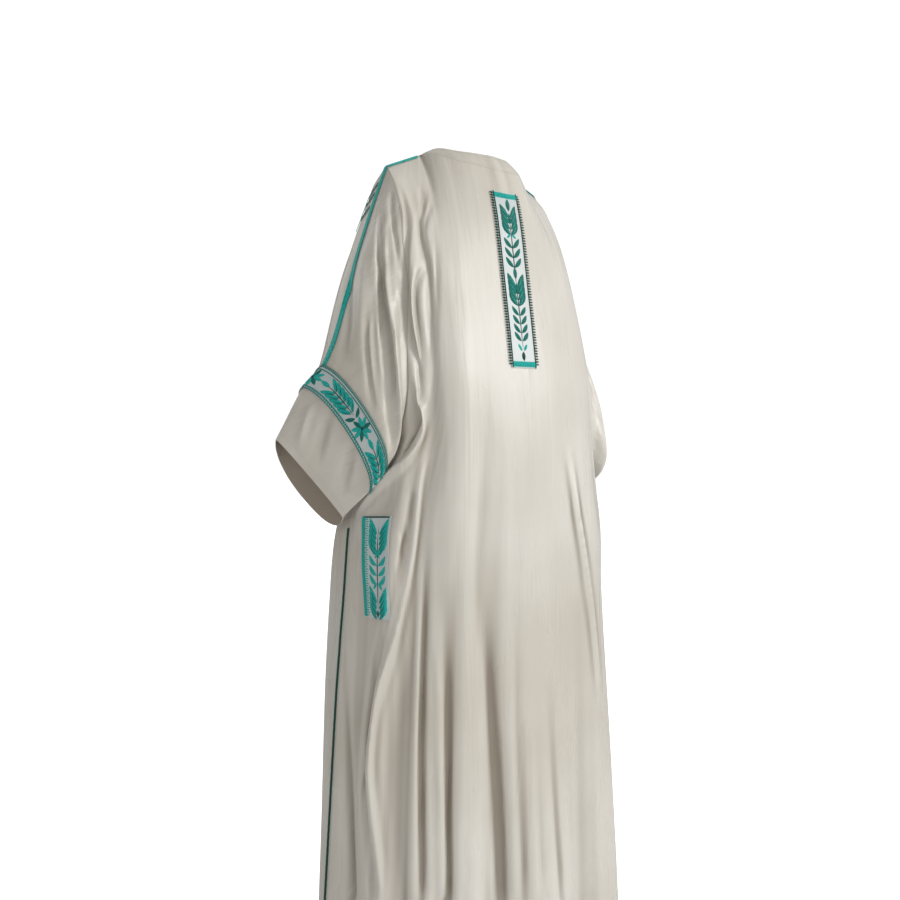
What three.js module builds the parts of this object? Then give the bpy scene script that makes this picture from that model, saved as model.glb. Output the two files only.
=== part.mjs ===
// Abaya: a full-length robe worn on the shoulders, with both arms lowered a little away from the body.
// Millimetres, +Z up. The front faces -Y and the wearer's left is +X.
// The origin is at the neck, level with the highest point of the neck edge.
import * as THREE from 'three';

// ---------------------------------------------------------------- driving sizes
const clothThickness = 1.4;
const stripThickness = 1.1;
const seamGap = 0.3;            // between pieces that are sewn edge to edge
const layOn = 0.8;              // between a panel and what is sewn flat on it
const hemHeight = -1430;        // neck to hem, measured straight down
const frontLap = 24;            // how far each front passes the centre line
const lapClearance = 2.6;       // how far the upper front stands off the lower one
const bandLayOn = 1.4;          // the bands bridge the small creases of the sleeves
const panelLayOn = 2.0;         // the side panel bridges the foot of a ridge
const trimWidth = 12;
const backStripWidth = 55;
const backStripTop = -90;
const backStripBottom = -410;
const sidePanelWidth = 66;
const sidePanelTop = -670;
const sidePanelBottom = -850;
const pipingWidth = 5;
const pipingHeight = 2.2;
const stripeWidth = 5;

// ---------------------------------------------------------------- colours
const satin = new THREE.Color(0.80, 0.78, 0.71);
const satinLight = new THREE.Color(0.84, 0.85, 0.82);
const teal = new THREE.Color(0.10, 0.62, 0.56);
const darkTeal = new THREE.Color(0.04, 0.33, 0.30);

const material = (color, roughness) => new THREE.MeshStandardMaterial({ color, roughness, metalness: 0 });

// ---------------------------------------------------------------- curves from tables
// A smooth curve through the rows of a table: every named column is a cubic in the key column.
function curve(key, rows) {
  const fields = Object.keys(rows[0]).filter((name) => name !== key);
  const slope = (field, i) => {
    const before = rows[Math.max(i - 1, 0)];
    const after = rows[Math.min(i + 1, rows.length - 1)];
    return (after[field] - before[field]) / (after[key] - before[key]);
  };
  return (t) => {
    let i = 0;
    while (i < rows.length - 2 && t > rows[i + 1][key]) i += 1;
    const start = rows[i];
    const end = rows[i + 1];
    const step = end[key] - start[key];
    const s = Math.min(Math.max((t - start[key]) / step, 0), 1);
    const result = {};
    for (const field of fields) {
      const a = (2 * s ** 3 - 3 * s ** 2 + 1) * start[field];
      const b = (s ** 3 - 2 * s ** 2 + s) * step * slope(field, i);
      const c = (3 * s ** 2 - 2 * s ** 3) * end[field];
      const d = (s ** 3 - s ** 2) * step * slope(field, i + 1);
      result[field] = a + b + c + d;
    }
    return result;
  };
}

const vector = ({ x, y, z }) => new THREE.Vector3(x, y, z);
const mix = (a, b, t) => a + (b - a) * t;
const smooth = (a, b, t) => THREE.MathUtils.smoothstep(t, a, b);
const steps = (from, to, count) => Array.from({ length: count + 1 }, (_, k) => mix(from, to, k / count));

// ---------------------------------------------------------------- the body's sections
// v runs down the garment from the neck and shoulder line (0) to the hem (1).
// The armholes run from the shoulder (0) to the underarm, and the side seams from there to the hem.
const underarm = 0.36;
const bodyRows = [
  0, 0.018, 0.04, 0.066, 0.095, 0.13, 0.165, 0.20, 0.235, 0.265, 0.29, 0.315, 0.338, underarm, 0.385,
  0.41, 0.43, 0.45, 0.48, 0.515, 0.56, 0.61, 0.67, 0.73, 0.80, 0.87, 0.94, 1,
];

const armholes = {
  left: {
    back: curve('v', [
      { v: 0.00, x: 183, y: 8, z: -42 },
      { v: 0.04, x: 190, y: 45, z: -76 },
      { v: 0.085, x: 194, y: 74, z: -134 },
      { v: 0.13, x: 200, y: 90, z: -210 },
      { v: 0.20, x: 200, y: 99, z: -320 },
      { v: 0.29, x: 199, y: 104, z: -440 },
      { v: 0.32, x: 202, y: 94, z: -486 },
      { v: 0.34, x: 205, y: 64, z: -524 },
      { v: 0.36, x: 205, y: 22, z: -548 },
    ]),
    front: curve('v', [
      { v: 0.00, x: 183, y: 8, z: -42 },
      { v: 0.04, x: 193, y: -24, z: -78 },
      { v: 0.10, x: 200, y: -54, z: -160 },
      { v: 0.18, x: 203, y: -74, z: -285 },
      { v: 0.26, x: 205, y: -78, z: -400 },
      { v: 0.31, x: 206, y: -62, z: -478 },
      { v: 0.34, x: 206, y: -26, z: -526 },
      { v: 0.36, x: 205, y: 22, z: -548 },
    ]),
    sideSeam: curve('v', [
      { v: 0.36, x: 205, y: 22, z: -548 },
      { v: 0.39, x: 215, y: 14, z: -588 },
      { v: 0.42, x: 236, y: 6, z: -632 },
      { v: 0.45, x: 253, y: 0, z: -675 },
      { v: 0.50, x: 261, y: 0, z: -740 },
      { v: 0.55, x: 266, y: 0, z: -805 },
      { v: 0.66, x: 280, y: 0, z: -963 },
      { v: 0.93, x: 304, y: 0, z: -1336 },
      { v: 1.00, x: 310, y: 0, z: hemHeight },
    ]),
  },
  right: {
    back: curve('v', [
      { v: 0.00, x: -144, y: 12, z: -60 },
      { v: 0.04, x: -150, y: 46, z: -98 },
      { v: 0.085, x: -159, y: 70, z: -156 },
      { v: 0.13, x: -169, y: 86, z: -228 },
      { v: 0.20, x: -188, y: 97, z: -335 },
      { v: 0.29, x: -206, y: 102, z: -455 },
      { v: 0.32, x: -212, y: 92, z: -503 },
      { v: 0.34, x: -216, y: 62, z: -545 },
      { v: 0.36, x: -217, y: 20, z: -570 },
    ]),
    front: curve('v', [
      { v: 0.00, x: -144, y: 12, z: -60 },
      { v: 0.04, x: -158, y: -22, z: -98 },
      { v: 0.10, x: -174, y: -54, z: -176 },
      { v: 0.18, x: -192, y: -75, z: -300 },
      { v: 0.26, x: -206, y: -80, z: -415 },
      { v: 0.31, x: -215, y: -64, z: -495 },
      { v: 0.34, x: -218, y: -26, z: -546 },
      { v: 0.36, x: -217, y: 20, z: -570 },
    ]),
    sideSeam: curve('v', [
      { v: 0.36, x: -217, y: 20, z: -570 },
      { v: 0.39, x: -226, y: 14, z: -606 },
      { v: 0.42, x: -242, y: 8, z: -645 },
      { v: 0.45, x: -254, y: 3, z: -684 },
      { v: 0.50, x: -259, y: 0, z: -745 },
      { v: 0.55, x: -262, y: 0, z: -808 },
      { v: 0.66, x: -275, y: 0, z: -965 },
      { v: 0.93, x: -302, y: 0, z: -1336 },
      { v: 1.00, x: -308, y: 0, z: hemHeight },
    ]),
  },
};

// Depth and height of the centre line, and how square the section's corners are (2 is an ellipse).
const centreBack = curve('v', [
  { v: 0.00, y: 103, z: -46, square: 2.0 },
  { v: 0.03, y: 119, z: -88, square: 2.0 },
  { v: 0.06, y: 130, z: -130, square: 2.0 },
  { v: 0.13, y: 147, z: -228, square: 2.0 },
  { v: 0.26, y: 177, z: -406, square: 2.1 },
  { v: 0.36, y: 190, z: -548, square: 2.4 },
  { v: 0.45, y: 197, z: -672, square: 2.5 },
  { v: 0.60, y: 202, z: -880, square: 2.3 },
  { v: 0.80, y: 207, z: -1155, square: 2.2 },
  { v: 1.00, y: 213, z: hemHeight, square: 2.1 },
]);
const centreFront = curve('v', [
  { v: 0.00, y: -122, z: -150, square: 2.0 },
  { v: 0.06, y: -132, z: -210, square: 2.0 },
  { v: 0.13, y: -141, z: -280, square: 2.0 },
  { v: 0.26, y: -154, z: -430, square: 2.1 },
  { v: 0.36, y: -163, z: -560, square: 2.5 },
  { v: 0.45, y: -170, z: -680, square: 2.5 },
  { v: 0.60, y: -176, z: -885, square: 2.3 },
  { v: 0.80, y: -180, z: -1158, square: 2.1 },
  { v: 1.00, y: -184, z: hemHeight, square: 2.0 },
]);

// Half of the neck, from the centre back (0) over the shoulder (1) to the centre front (2).
// The body is sewn to the neckband along the seam, and the edge is the neckband's free side.
const necks = {
  left: {
    seam: curve('t', [
      { t: 0.0, x: 0, y: 103, z: -46 },
      { t: 0.5, x: 66, y: 76, z: -31 },
      { t: 1.0, x: 108, y: 6, z: -12 },
      { t: 1.5, x: 76, y: -70, z: -66 },
      { t: 2.0, x: 0, y: -122, z: -150 },
    ]),
    edge: curve('t', [
      { t: 0.0, x: 0, y: 80, z: -14 },
      { t: 0.5, x: 52, y: 58, z: -8 },
      { t: 1.0, x: 84, y: 5, z: 0 },
      { t: 1.5, x: 58, y: -52, z: -44 },
      { t: 2.0, x: 0, y: -98, z: -122 },
    ]),
  },
  right: {
    seam: curve('t', [
      { t: 0.0, x: 0, y: 103, z: -46 },
      { t: 0.5, x: -64, y: 78, z: -43 },
      { t: 1.0, x: -99, y: 10, z: -36 },
      { t: 1.5, x: -72, y: -68, z: -80 },
      { t: 2.0, x: 0, y: -122, z: -150 },
    ]),
    edge: curve('t', [
      { t: 0.0, x: 0, y: 80, z: -14 },
      { t: 0.5, x: -50, y: 60, z: -16 },
      { t: 1.0, x: -78, y: 9, z: -20 },
      { t: 1.5, x: -56, y: -50, z: -56 },
      { t: 2.0, x: 0, y: -98, z: -122 },
    ]),
  },
};
const neckShare = 0.5;          // the part of a panel's half width that the neck takes

const sideOf = (u) => (u >= 0 ? 'left' : 'right');

// The top line of a panel: neck seam from the centre to the neck point, then the shoulder seam.
function topLine(half, u) {
  const side = sideOf(u);
  const across = Math.abs(u);
  const neck = necks[side].seam;
  if (across <= neckShare) {
    const t = across / neckShare;
    return vector(neck(half === 'back' ? t : 2 - t));
  }
  const tip = vector(armholes[side].back(0));
  return vector(neck(1)).lerp(tip, (across - neckShare) / (1 - neckShare));
}

function sideEdge(half, side, v) {
  return v < underarm ? armholes[side][half](v) : armholes[side].sideSeam(v);
}

// ---------------------------------------------------------------- folds
// Each fold is a line down a panel: where it lies across the panel (u), its depth and its width at v.
// A negative depth is a trough. Widths are fractions of the panel's half width.
const backFolds = [
  [ // trough beside the left armhole, running on into the big ridge below the arm
    { v: 0.03, u: 0.80, depth: -2, width: 0.07 },
    { v: 0.13, u: 0.70, depth: -9, width: 0.08 },
    { v: 0.22, u: 0.68, depth: -11, width: 0.08 },
    { v: 0.30, u: 0.64, depth: -13, width: 0.08 },
    { v: 0.36, u: 0.57, depth: -12, width: 0.08 },
    { v: 0.46, u: 0.545, depth: -11, width: 0.08 },
    { v: 0.62, u: 0.56, depth: -10, width: 0.07 },
    { v: 0.78, u: 0.60, depth: -9, width: 0.07 },
    { v: 1.00, u: 0.53, depth: -12, width: 0.07 },
  ],
  [ // roll of cloth that leaves the armhole's end and falls towards the side seam
    { v: 0.27, u: 0.76, depth: 0, width: 0.06 },
    { v: 0.31, u: 0.74, depth: 6, width: 0.06 },
    { v: 0.35, u: 0.70, depth: 8, width: 0.06 },
    { v: 0.39, u: 0.76, depth: 8, width: 0.07 },
    { v: 0.42, u: 0.82, depth: 7, width: 0.07 },
    { v: 0.45, u: 0.88, depth: 5, width: 0.07 },
    { v: 0.48, u: 0.90, depth: 0, width: 0.07 },
  ],
  [ // big ridge that parts the back from the side
    { v: 0.36, u: 0.64, depth: 0, width: 0.065 },
    { v: 0.46, u: 0.625, depth: 9, width: 0.065 },
    { v: 0.60, u: 0.635, depth: 13, width: 0.065 },
    { v: 0.71, u: 0.69, depth: 13, width: 0.065 },
    { v: 0.82, u: 0.69, depth: 12, width: 0.07 },
    { v: 1.00, u: 0.62, depth: 15, width: 0.08 },
  ],
  [ // trough on the side, in front of the big ridge
    { v: 0.50, u: 0.82, depth: 0, width: 0.07 },
    { v: 0.62, u: 0.82, depth: -9, width: 0.07 },
    { v: 0.80, u: 0.84, depth: -10, width: 0.07 },
    { v: 1.00, u: 0.82, depth: -12, width: 0.08 },
  ],
  [ // left skirt trough
    { v: 0.40, u: 0.42, depth: 0, width: 0.05 },
    { v: 0.60, u: 0.40, depth: -6, width: 0.06 },
    { v: 0.80, u: 0.39, depth: -9, width: 0.06 },
    { v: 1.00, u: 0.38, depth: -12, width: 0.07 },
  ],
  [ // ridge between the two left troughs
    { v: 0.45, u: 0.49, depth: 0, width: 0.05 },
    { v: 0.62, u: 0.485, depth: 5, width: 0.05 },
    { v: 1.00, u: 0.46, depth: 9, width: 0.05 },
  ],
  [ // long ridge left of the centre
    { v: 0.10, u: 0.42, depth: 0, width: 0.10 },
    { v: 0.30, u: 0.40, depth: 5, width: 0.10 },
    { v: 0.60, u: 0.31, depth: 7, width: 0.08 },
    { v: 1.00, u: 0.27, depth: 10, width: 0.08 },
  ],
  [ // broad trough that opens towards the hem near the centre
    { v: 0.32, u: 0.26, depth: 0, width: 0.08 },
    { v: 0.55, u: 0.225, depth: -6, width: 0.08 },
    { v: 0.80, u: 0.175, depth: -11, width: 0.09 },
    { v: 1.00, u: 0.14, depth: -16, width: 0.10 },
  ],
  [ // broad ridge right of the centre
    { v: 0.40, u: -0.02, depth: 0, width: 0.12 },
    { v: 0.70, u: -0.03, depth: 6, width: 0.12 },
    { v: 1.00, u: -0.05, depth: 13, width: 0.12 },
  ],
  [ // shallow right trough
    { v: 0.50, u: -0.30, depth: 0, width: 0.10 },
    { v: 0.75, u: -0.30, depth: -6, width: 0.10 },
    { v: 1.00, u: -0.31, depth: -12, width: 0.11 },
  ],
  [ // right ridge
    { v: 0.45, u: -0.55, depth: 0, width: 0.10 },
    { v: 0.75, u: -0.56, depth: 7, width: 0.10 },
    { v: 1.00, u: -0.56, depth: 12, width: 0.11 },
  ],
  [ // fold edge that parts the right back from the side
    { v: 0.24, u: -0.76, depth: 0, width: 0.06 },
    { v: 0.36, u: -0.70, depth: 8, width: 0.06 },
    { v: 0.46, u: -0.72, depth: 10, width: 0.06 },
    { v: 0.60, u: -0.76, depth: 8, width: 0.06 },
    { v: 0.75, u: -0.82, depth: 3, width: 0.06 },
    { v: 1.00, u: -0.84, depth: 0, width: 0.06 },
  ],
  [ // trough beyond that edge
    { v: 0.30, u: -0.86, depth: 0, width: 0.05 },
    { v: 0.40, u: -0.83, depth: -9, width: 0.06 },
    { v: 0.52, u: -0.86, depth: -9, width: 0.06 },
    { v: 0.66, u: -0.90, depth: -4, width: 0.05 },
    { v: 0.76, u: -0.92, depth: 0, width: 0.05 },
  ],
];

const frontFolds = [
  [
    { v: 0.05, u: 0.72, depth: 0, width: 0.07 },
    { v: 0.20, u: 0.72, depth: -8, width: 0.08 },
    { v: 0.34, u: 0.68, depth: -10, width: 0.08 },
    { v: 0.60, u: 0.62, depth: -9, width: 0.08 },
    { v: 1.00, u: 0.60, depth: -13, width: 0.09 },
  ],
  [
    { v: 0.30, u: 0.82, depth: 0, width: 0.07 },
    { v: 0.55, u: 0.78, depth: 5, width: 0.08 },
    { v: 1.00, u: 0.78, depth: -5, width: 0.09 },
  ],
  [
    { v: 0.20, u: 0.46, depth: 0, width: 0.08 },
    { v: 0.60, u: 0.45, depth: 8, width: 0.08 },
    { v: 1.00, u: 0.44, depth: 12, width: 0.09 },
  ],
  [
    { v: 0.35, u: 0.28, depth: 0, width: 0.07 },
    { v: 0.70, u: 0.27, depth: -6, width: 0.08 },
    { v: 1.00, u: 0.26, depth: -10, width: 0.09 },
  ],
  [
    { v: 0.10, u: -0.70, depth: 0, width: 0.08 },
    { v: 0.28, u: -0.70, depth: -8, width: 0.08 },
    { v: 0.60, u: -0.66, depth: -8, width: 0.09 },
    { v: 1.00, u: -0.64, depth: -12, width: 0.09 },
  ],
  [
    { v: 0.30, u: -0.50, depth: 0, width: 0.08 },
    { v: 0.65, u: -0.48, depth: 8, width: 0.09 },
    { v: 1.00, u: -0.46, depth: 12, width: 0.09 },
  ],
  [
    { v: 0.40, u: -0.82, depth: 0, width: 0.07 },
    { v: 0.70, u: -0.82, depth: 9, width: 0.08 },
    { v: 1.00, u: -0.82, depth: 12, width: 0.08 },
  ],
  [
    { v: 0.42, u: -0.28, depth: 0, width: 0.07 },
    { v: 0.75, u: -0.27, depth: -6, width: 0.08 },
    { v: 1.00, u: -0.26, depth: -9, width: 0.09 },
  ],
];

const foldLines = (folds) => folds.map((rows) => ({
  at: curve('v', rows),
  start: rows[0].v,
  end: rows[rows.length - 1].v,
}));
const foldsOf = { back: foldLines(backFolds), front: foldLines(frontFolds) };

function foldDepth(half, u, v) {
  let total = 0;
  for (const fold of foldsOf[half]) {
    if (v < fold.start || v > fold.end) continue;
    const { u: middle, depth, width } = fold.at(v);
    total += depth * Math.exp(-(((u - middle) / width) ** 2));
  }
  // Seams and the top line hold the cloth still.
  const free = smooth(0, 0.06, v) * smooth(0, 0.09, 1 - Math.abs(u));
  return total * free;
}

// ---------------------------------------------------------------- a point of the body
// u runs across a panel from the right side (-1) over the centre (0) to the left side (1).
const topFade = { back: 0.13, front: 0.24 };

// The section's width and depth follow the side edge softly: its sharp turns stay near the edge itself.
const softReach = 0.06;

function softEdge(half, side, v) {
  const sum = new THREE.Vector3();
  const offsets = steps(-softReach, softReach, 6);
  for (const offset of offsets) {
    sum.add(vector(sideEdge(half, side, Math.min(Math.max(v + offset, 0), 1))));
  }
  return sum.divideScalar(offsets.length);
}

function bodySection(half, u, v) {
  const centre = (half === 'back' ? centreBack : centreFront)(v);
  const edge = softEdge(half, sideOf(u), v);
  const angle = Math.abs(u) * Math.PI / 2;
  const across = Math.sin(angle);
  const deep = Math.cos(angle);
  const reach = (across ** centre.square + deep ** centre.square) ** (-1 / centre.square);
  const sharp = vector(sideEdge(half, sideOf(u), v)).sub(edge);
  return new THREE.Vector3(
    edge.x * reach * across,
    edge.y + (centre.y - edge.y) * reach * deep,
    centre.z + (edge.z - centre.z) * u * u,
  ).addScaledVector(sharp, Math.abs(u) === 1 ? 1 : smooth(0.62, 1, Math.abs(u)));
}

function bodyPoint(half, u, v) {
  const point = bodySection(half, u, v);
  const fade = v < topFade[half] ? (1 - v / topFade[half]) ** 2 : 0;
  if (fade > 0) {
    const pull = topLine(half, u).sub(bodySection(half, u, 0));
    point.addScaledVector(pull, fade);
  }
  const angle = u * Math.PI / 2;
  const out = new THREE.Vector3(Math.sin(angle), (half === 'back' ? 1 : -1) * Math.cos(angle), 0);
  return point.addScaledVector(out, foldDepth(half, u, v));
}

// ---------------------------------------------------------------- sleeves
// A sleeve's loops run from the armhole (v 0) to the cuff (v 1). Each loop passes the overarm line (top),
// the back, the underarm line (bottom) and the front. Back and front are how far the loop's sides stand
// off the line from top to bottom, and sag is how much further the lower back hangs out.
const sleeveRows = {
  left: [
    { v: 0.00, top: [183, 8, -42], bottom: [205, 22, -548], back: [6, 84, -10], front: [10, -92, 10],
      sag: [0, 0, 0] },
    { v: 0.17, top: [219, 14, -129], bottom: [212, 33, -562], back: [12, 64, -8], front: [16, -88, 5],
      sag: [-6, 14, -6] },
    { v: 0.38, top: [256, 12, -241], bottom: [221, 44, -577], back: [4, 52, -10], front: [14, -82, 0],
      sag: [-10, 24, -4] },
    { v: 0.58, top: [283, 3, -347], bottom: [234, 50, -588], back: [-6, 46, -12], front: [10, -74, -4],
      sag: [-10, 22, 0] },
    { v: 0.70, top: [304, -8, -407], bottom: [246, 50, -602], back: [-18, 48, -13], front: [4, -66, -10],
      sag: [-6, 18, 8] },
    { v: 0.81, top: [325, -46, -446], bottom: [259, 36, -636], back: [-20, 43, -9], front: [-4, -60, -20],
      sag: [-1, 9, 4] },
    { v: 1.00, top: [360, -85, -538], bottom: [274, 8, -678], back: [7, 15, 5], front: [-20, -52, -40],
      sag: [0, 0, 0] },
  ],
  right: [
    { v: 0.00, top: [-144, 12, -60], bottom: [-217, 20, -570], back: [-12, 84, -10], front: [-12, -90, 10],
      sag: [0, 0, 0] },
    { v: 0.13, top: [-184, 10, -118], bottom: [-225, 29, -585], back: [-8, 64, -8], front: [-14, -84, 5],
      sag: [2, 6, 0] },
    { v: 0.33, top: [-207, 6, -236], bottom: [-233, 36, -602], back: [-6, 52, -10], front: [-14, -82, 0],
      sag: [-4, 14, 0] },
    { v: 0.56, top: [-240, -4, -366], bottom: [-246, 40, -612], back: [-14, 56, -16], front: [-8, -76, -5],
      sag: [-6, 20, 4] },
    { v: 0.71, top: [-262, -50, -440], bottom: [-248, 14, -640], back: [-12, 40, -8], front: [4, -66, -6],
      sag: [0, 0, 0] },
    { v: 0.83, top: [-282, -96, -500], bottom: [-256, -22, -668], back: [-22, 30, -8], front: [14, -54, 0],
      sag: [0, 0, 0] },
    { v: 1.00, top: [-298, -172, -560], bottom: [-264, -76, -712], back: [-28, 14, -4], front: [18, -38, 4],
      sag: [0, 0, 0] },
  ],
};

const flat = (row) => {
  const result = { v: row.v };
  for (const name of ['top', 'bottom', 'back', 'front', 'sag']) {
    [result[`${name}X`], result[`${name}Y`], result[`${name}Z`]] = row[name];
  }
  return result;
};
const sleeveLines = {
  left: curve('v', sleeveRows.left.map(flat)),
  right: curve('v', sleeveRows.right.map(flat)),
};
const pick = (row, name) => new THREE.Vector3(row[`${name}X`], row[`${name}Y`], row[`${name}Z`]);
const sleeveSquare = 2.3;
const sagPeak = 0.77;           // makes the sag's share one where it hangs most

// w runs round a loop: 0 overarm, 0.25 back, 0.5 underarm, 0.75 front.
function sleeveLoop(side, w, v) {
  const row = sleeveLines[side](v);
  const top = pick(row, 'top');
  const bottom = pick(row, 'bottom');
  const bulge = pick(row, w <= 0.5 ? 'back' : 'front');
  const along = Math.cos(2 * Math.PI * w);
  const out = Math.abs(Math.sin(2 * Math.PI * w));
  const reach = (Math.abs(along) ** sleeveSquare + out ** sleeveSquare) ** (-1 / sleeveSquare);
  const hang = w <= 0.5 ? sagPeak * out * (1 - along) : 0;
  return top.clone().add(bottom).multiplyScalar(0.5)
    .addScaledVector(top.clone().sub(bottom), 0.5 * along * reach)
    .addScaledVector(bulge, out * reach)
    .addScaledVector(pick(row, 'sag'), hang);
}

// Both panels of an armhole seam run straight between the body's rows, so the sleeve does so too.
function armholePlace(w) {
  const v = (w <= 0.5 ? 2 * w : 2 - 2 * w) * underarm;
  let j = 0;
  while (bodyRows[j + 1] < v - 1e-9 && bodyRows[j + 1] < underarm) j += 1;
  const from = bodyRows[j];
  const to = bodyRows[j + 1];
  return { half: w <= 0.5 ? 'back' : 'front', from, to, share: (v - from) / (to - from) };
}

function armholePoint(side, w) {
  const { half, from, to, share } = armholePlace(w);
  return vector(armholes[side][half](from)).lerp(vector(armholes[side][half](to)), share);
}

// Folds of a sleeve run along it: w is where they lie round the loop.
const sleeveFolds = {
  left: [
    [ // deep trough that leaves the shoulder and falls beside the armhole
      { v: 0.05, w: 0.10, depth: 0, width: 0.045 },
      { v: 0.20, w: 0.17, depth: -9, width: 0.050 },
      { v: 0.38, w: 0.25, depth: -11, width: 0.055 },
      { v: 0.56, w: 0.32, depth: -8, width: 0.055 },
      { v: 0.69, w: 0.37, depth: 0, width: 0.050 },
    ],
    [ // ridge between the trough and the armhole
      { v: 0.06, w: 0.20, depth: 0, width: 0.045 },
      { v: 0.20, w: 0.28, depth: 7, width: 0.050 },
      { v: 0.36, w: 0.35, depth: 7, width: 0.050 },
      { v: 0.52, w: 0.41, depth: 0, width: 0.045 },
    ],
    [ // soft ridge on the upper arm
      { v: 0.10, w: 0.06, depth: 0, width: 0.045 },
      { v: 0.32, w: 0.13, depth: 6, width: 0.055 },
      { v: 0.55, w: 0.19, depth: 5, width: 0.055 },
      { v: 0.70, w: 0.22, depth: 0, width: 0.050 },
    ],
    [ // front of the upper arm
      { v: 0.08, w: 0.84, depth: 0, width: 0.050 },
      { v: 0.30, w: 0.78, depth: -9, width: 0.055 },
      { v: 0.60, w: 0.72, depth: -6, width: 0.055 },
      { v: 0.70, w: 0.70, depth: 0, width: 0.050 },
    ],
  ],
  right: [
    [ // trough beside the armhole
      { v: 0.06, w: 0.12, depth: 0, width: 0.045 },
      { v: 0.25, w: 0.21, depth: -6, width: 0.055 },
      { v: 0.55, w: 0.30, depth: -6, width: 0.055 },
      { v: 0.80, w: 0.36, depth: 0, width: 0.050 },
    ],
    [ // front of the upper arm
      { v: 0.08, w: 0.84, depth: 0, width: 0.050 },
      { v: 0.30, w: 0.78, depth: -9, width: 0.055 },
      { v: 0.60, w: 0.72, depth: -6, width: 0.055 },
      { v: 0.70, w: 0.70, depth: 0, width: 0.050 },
    ],
    [ // outside of the cuff
      { v: 0.72, w: 0.28, depth: 0, width: 0.050 },
      { v: 0.88, w: 0.28, depth: -4, width: 0.055 },
      { v: 1.00, w: 0.28, depth: -5, width: 0.055 },
    ],
  ],
};
const sleeveFoldLines = { left: foldLines(sleeveFolds.left), right: foldLines(sleeveFolds.right) };
const armholeReach = 0.6;       // how far down the sleeve the armhole's own line is still followed

function sleevePoint(side, w, v) {
  const point = sleeveLoop(side, w, v);
  const fade = 1 - smooth(0, armholeReach, v);
  if (fade > 0) {
    point.addScaledVector(armholePoint(side, w).sub(sleeveLoop(side, w, 0)), fade);
  }
  const row = sleeveLines[side](v);
  const chord = pick(row, 'top').sub(pick(row, 'bottom')).normalize();
  const bulge = pick(row, w <= 0.5 ? 'back' : 'front').normalize();
  const out = chord.multiplyScalar(Math.cos(2 * Math.PI * w))
    .addScaledVector(bulge, Math.abs(Math.sin(2 * Math.PI * w)))
    .normalize();
  let depth = 0;
  for (const fold of sleeveFoldLines[side]) {
    if (v < fold.start || v > fold.end) continue;
    const { w: middle, depth: height, width } = fold.at(v);
    depth += height * Math.exp(-(((w - middle) / width) ** 2));
  }
  return point.addScaledVector(out, depth);
}

// ---------------------------------------------------------------- walls
// A closed wall over a grid of outer points. The inner points lie one thickness behind them.
// grid[j][i] are the outer points, and outward[j][i] are the unit directions out of the cloth.
function wallGeometry(grid, outward, thickness, closedRound) {
  const rows = grid.length;
  const columns = grid[0].length;
  const positions = [];
  for (const side of [0, 1]) {
    for (let j = 0; j < rows; j += 1) {
      for (let i = 0; i < columns; i += 1) {
        const point = grid[j][i].clone().addScaledVector(outward[j][i], -thickness * side);
        positions.push(point.x, point.y, point.z);
      }
    }
  }
  const index = [];
  const inner = rows * columns;
  const quad = (a, b, c, d) => index.push(a, b, c, a, c, d);
  const last = closedRound ? columns : columns - 1;
  for (let j = 0; j < rows - 1; j += 1) {
    for (let i = 0; i < last; i += 1) {
      const next = (i + 1) % columns;
      const a = j * columns + i;
      const b = j * columns + next;
      const c = (j + 1) * columns + next;
      const d = (j + 1) * columns + i;
      quad(a, b, c, d);
      quad(inner + a, inner + d, inner + c, inner + b); // cut along the same diagonal as the outer one
    }
  }
  const rim = (a, b) => quad(b, a, inner + a, inner + b);
  for (let i = 0; i < last; i += 1) {
    const next = (i + 1) % columns;
    rim(i, next);
    rim((rows - 1) * columns + next, (rows - 1) * columns + i);
  }
  if (!closedRound) {
    for (let j = 0; j < rows - 1; j += 1) {
      rim((j + 1) * columns, j * columns);
      rim(j * columns + columns - 1, (j + 1) * columns + columns - 1);
    }
  }
  const geometry = new THREE.BufferGeometry();
  geometry.setAttribute('position', new THREE.Float32BufferAttribute(positions, 3));
  geometry.setIndex(index);
  return geometry;
}

// Unit directions out of the cloth: each point's is the mean of the faces round it.
function outwardOf(grid, closedRound) {
  const rows = grid.length;
  const columns = grid[0].length;
  const sums = grid.map((line) => line.map(() => new THREE.Vector3()));
  for (let j = 0; j < rows - 1; j += 1) {
    for (let i = 0; i < (closedRound ? columns : columns - 1); i += 1) {
      const next = (i + 1) % columns;
      const rising = grid[j][next].clone().sub(grid[j + 1][i]);
      const falling = grid[j + 1][next].clone().sub(grid[j][i]);
      const face = rising.cross(falling).normalize();
      for (const sum of [sums[j][i], sums[j][next], sums[j + 1][i], sums[j + 1][next]]) sum.add(face);
    }
  }
  return sums.map((line) => line.map((sum) => sum.normalize()));
}

// surface(u, v) gives the outer points so that (across) x (down) points out of the cloth.
// Where a seam direction is given, the wall's edge there follows it, so both of a seam's edges are parallel.
// The seam's own share keeps that much of the wall's own direction, where one panel folds back on the other.
function panelOf({ columns, rows, surface, closedRound = false, seams = () => null }) {
  const grid = rows.map((v) => columns.map((u) => surface(u, v)));
  const outward = outwardOf(grid, closedRound);
  rows.forEach((v, j) => columns.forEach((u, i) => {
    const seam = seams(u, v);
    if (!seam) return;
    outward[j][i].lerp(seam.rim.clone().normalize(), 1 - (seam.own ?? 0)).normalize();
    grid[j][i].addScaledVector(seam.away, seamGap / 2);
  }));
  return { grid, outward, columns, rows, closedRound };
}

const garment = new THREE.Group();

function addPiece(name, panel, { thickness = clothThickness, colour = satin, roughness = 0.45 } = {}) {
  const geometry = wallGeometry(panel.grid, panel.outward, thickness, panel.closedRound);
  const mesh = new THREE.Mesh(geometry, material(colour, roughness));
  mesh.name = name;
  garment.add(mesh);
}

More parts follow.
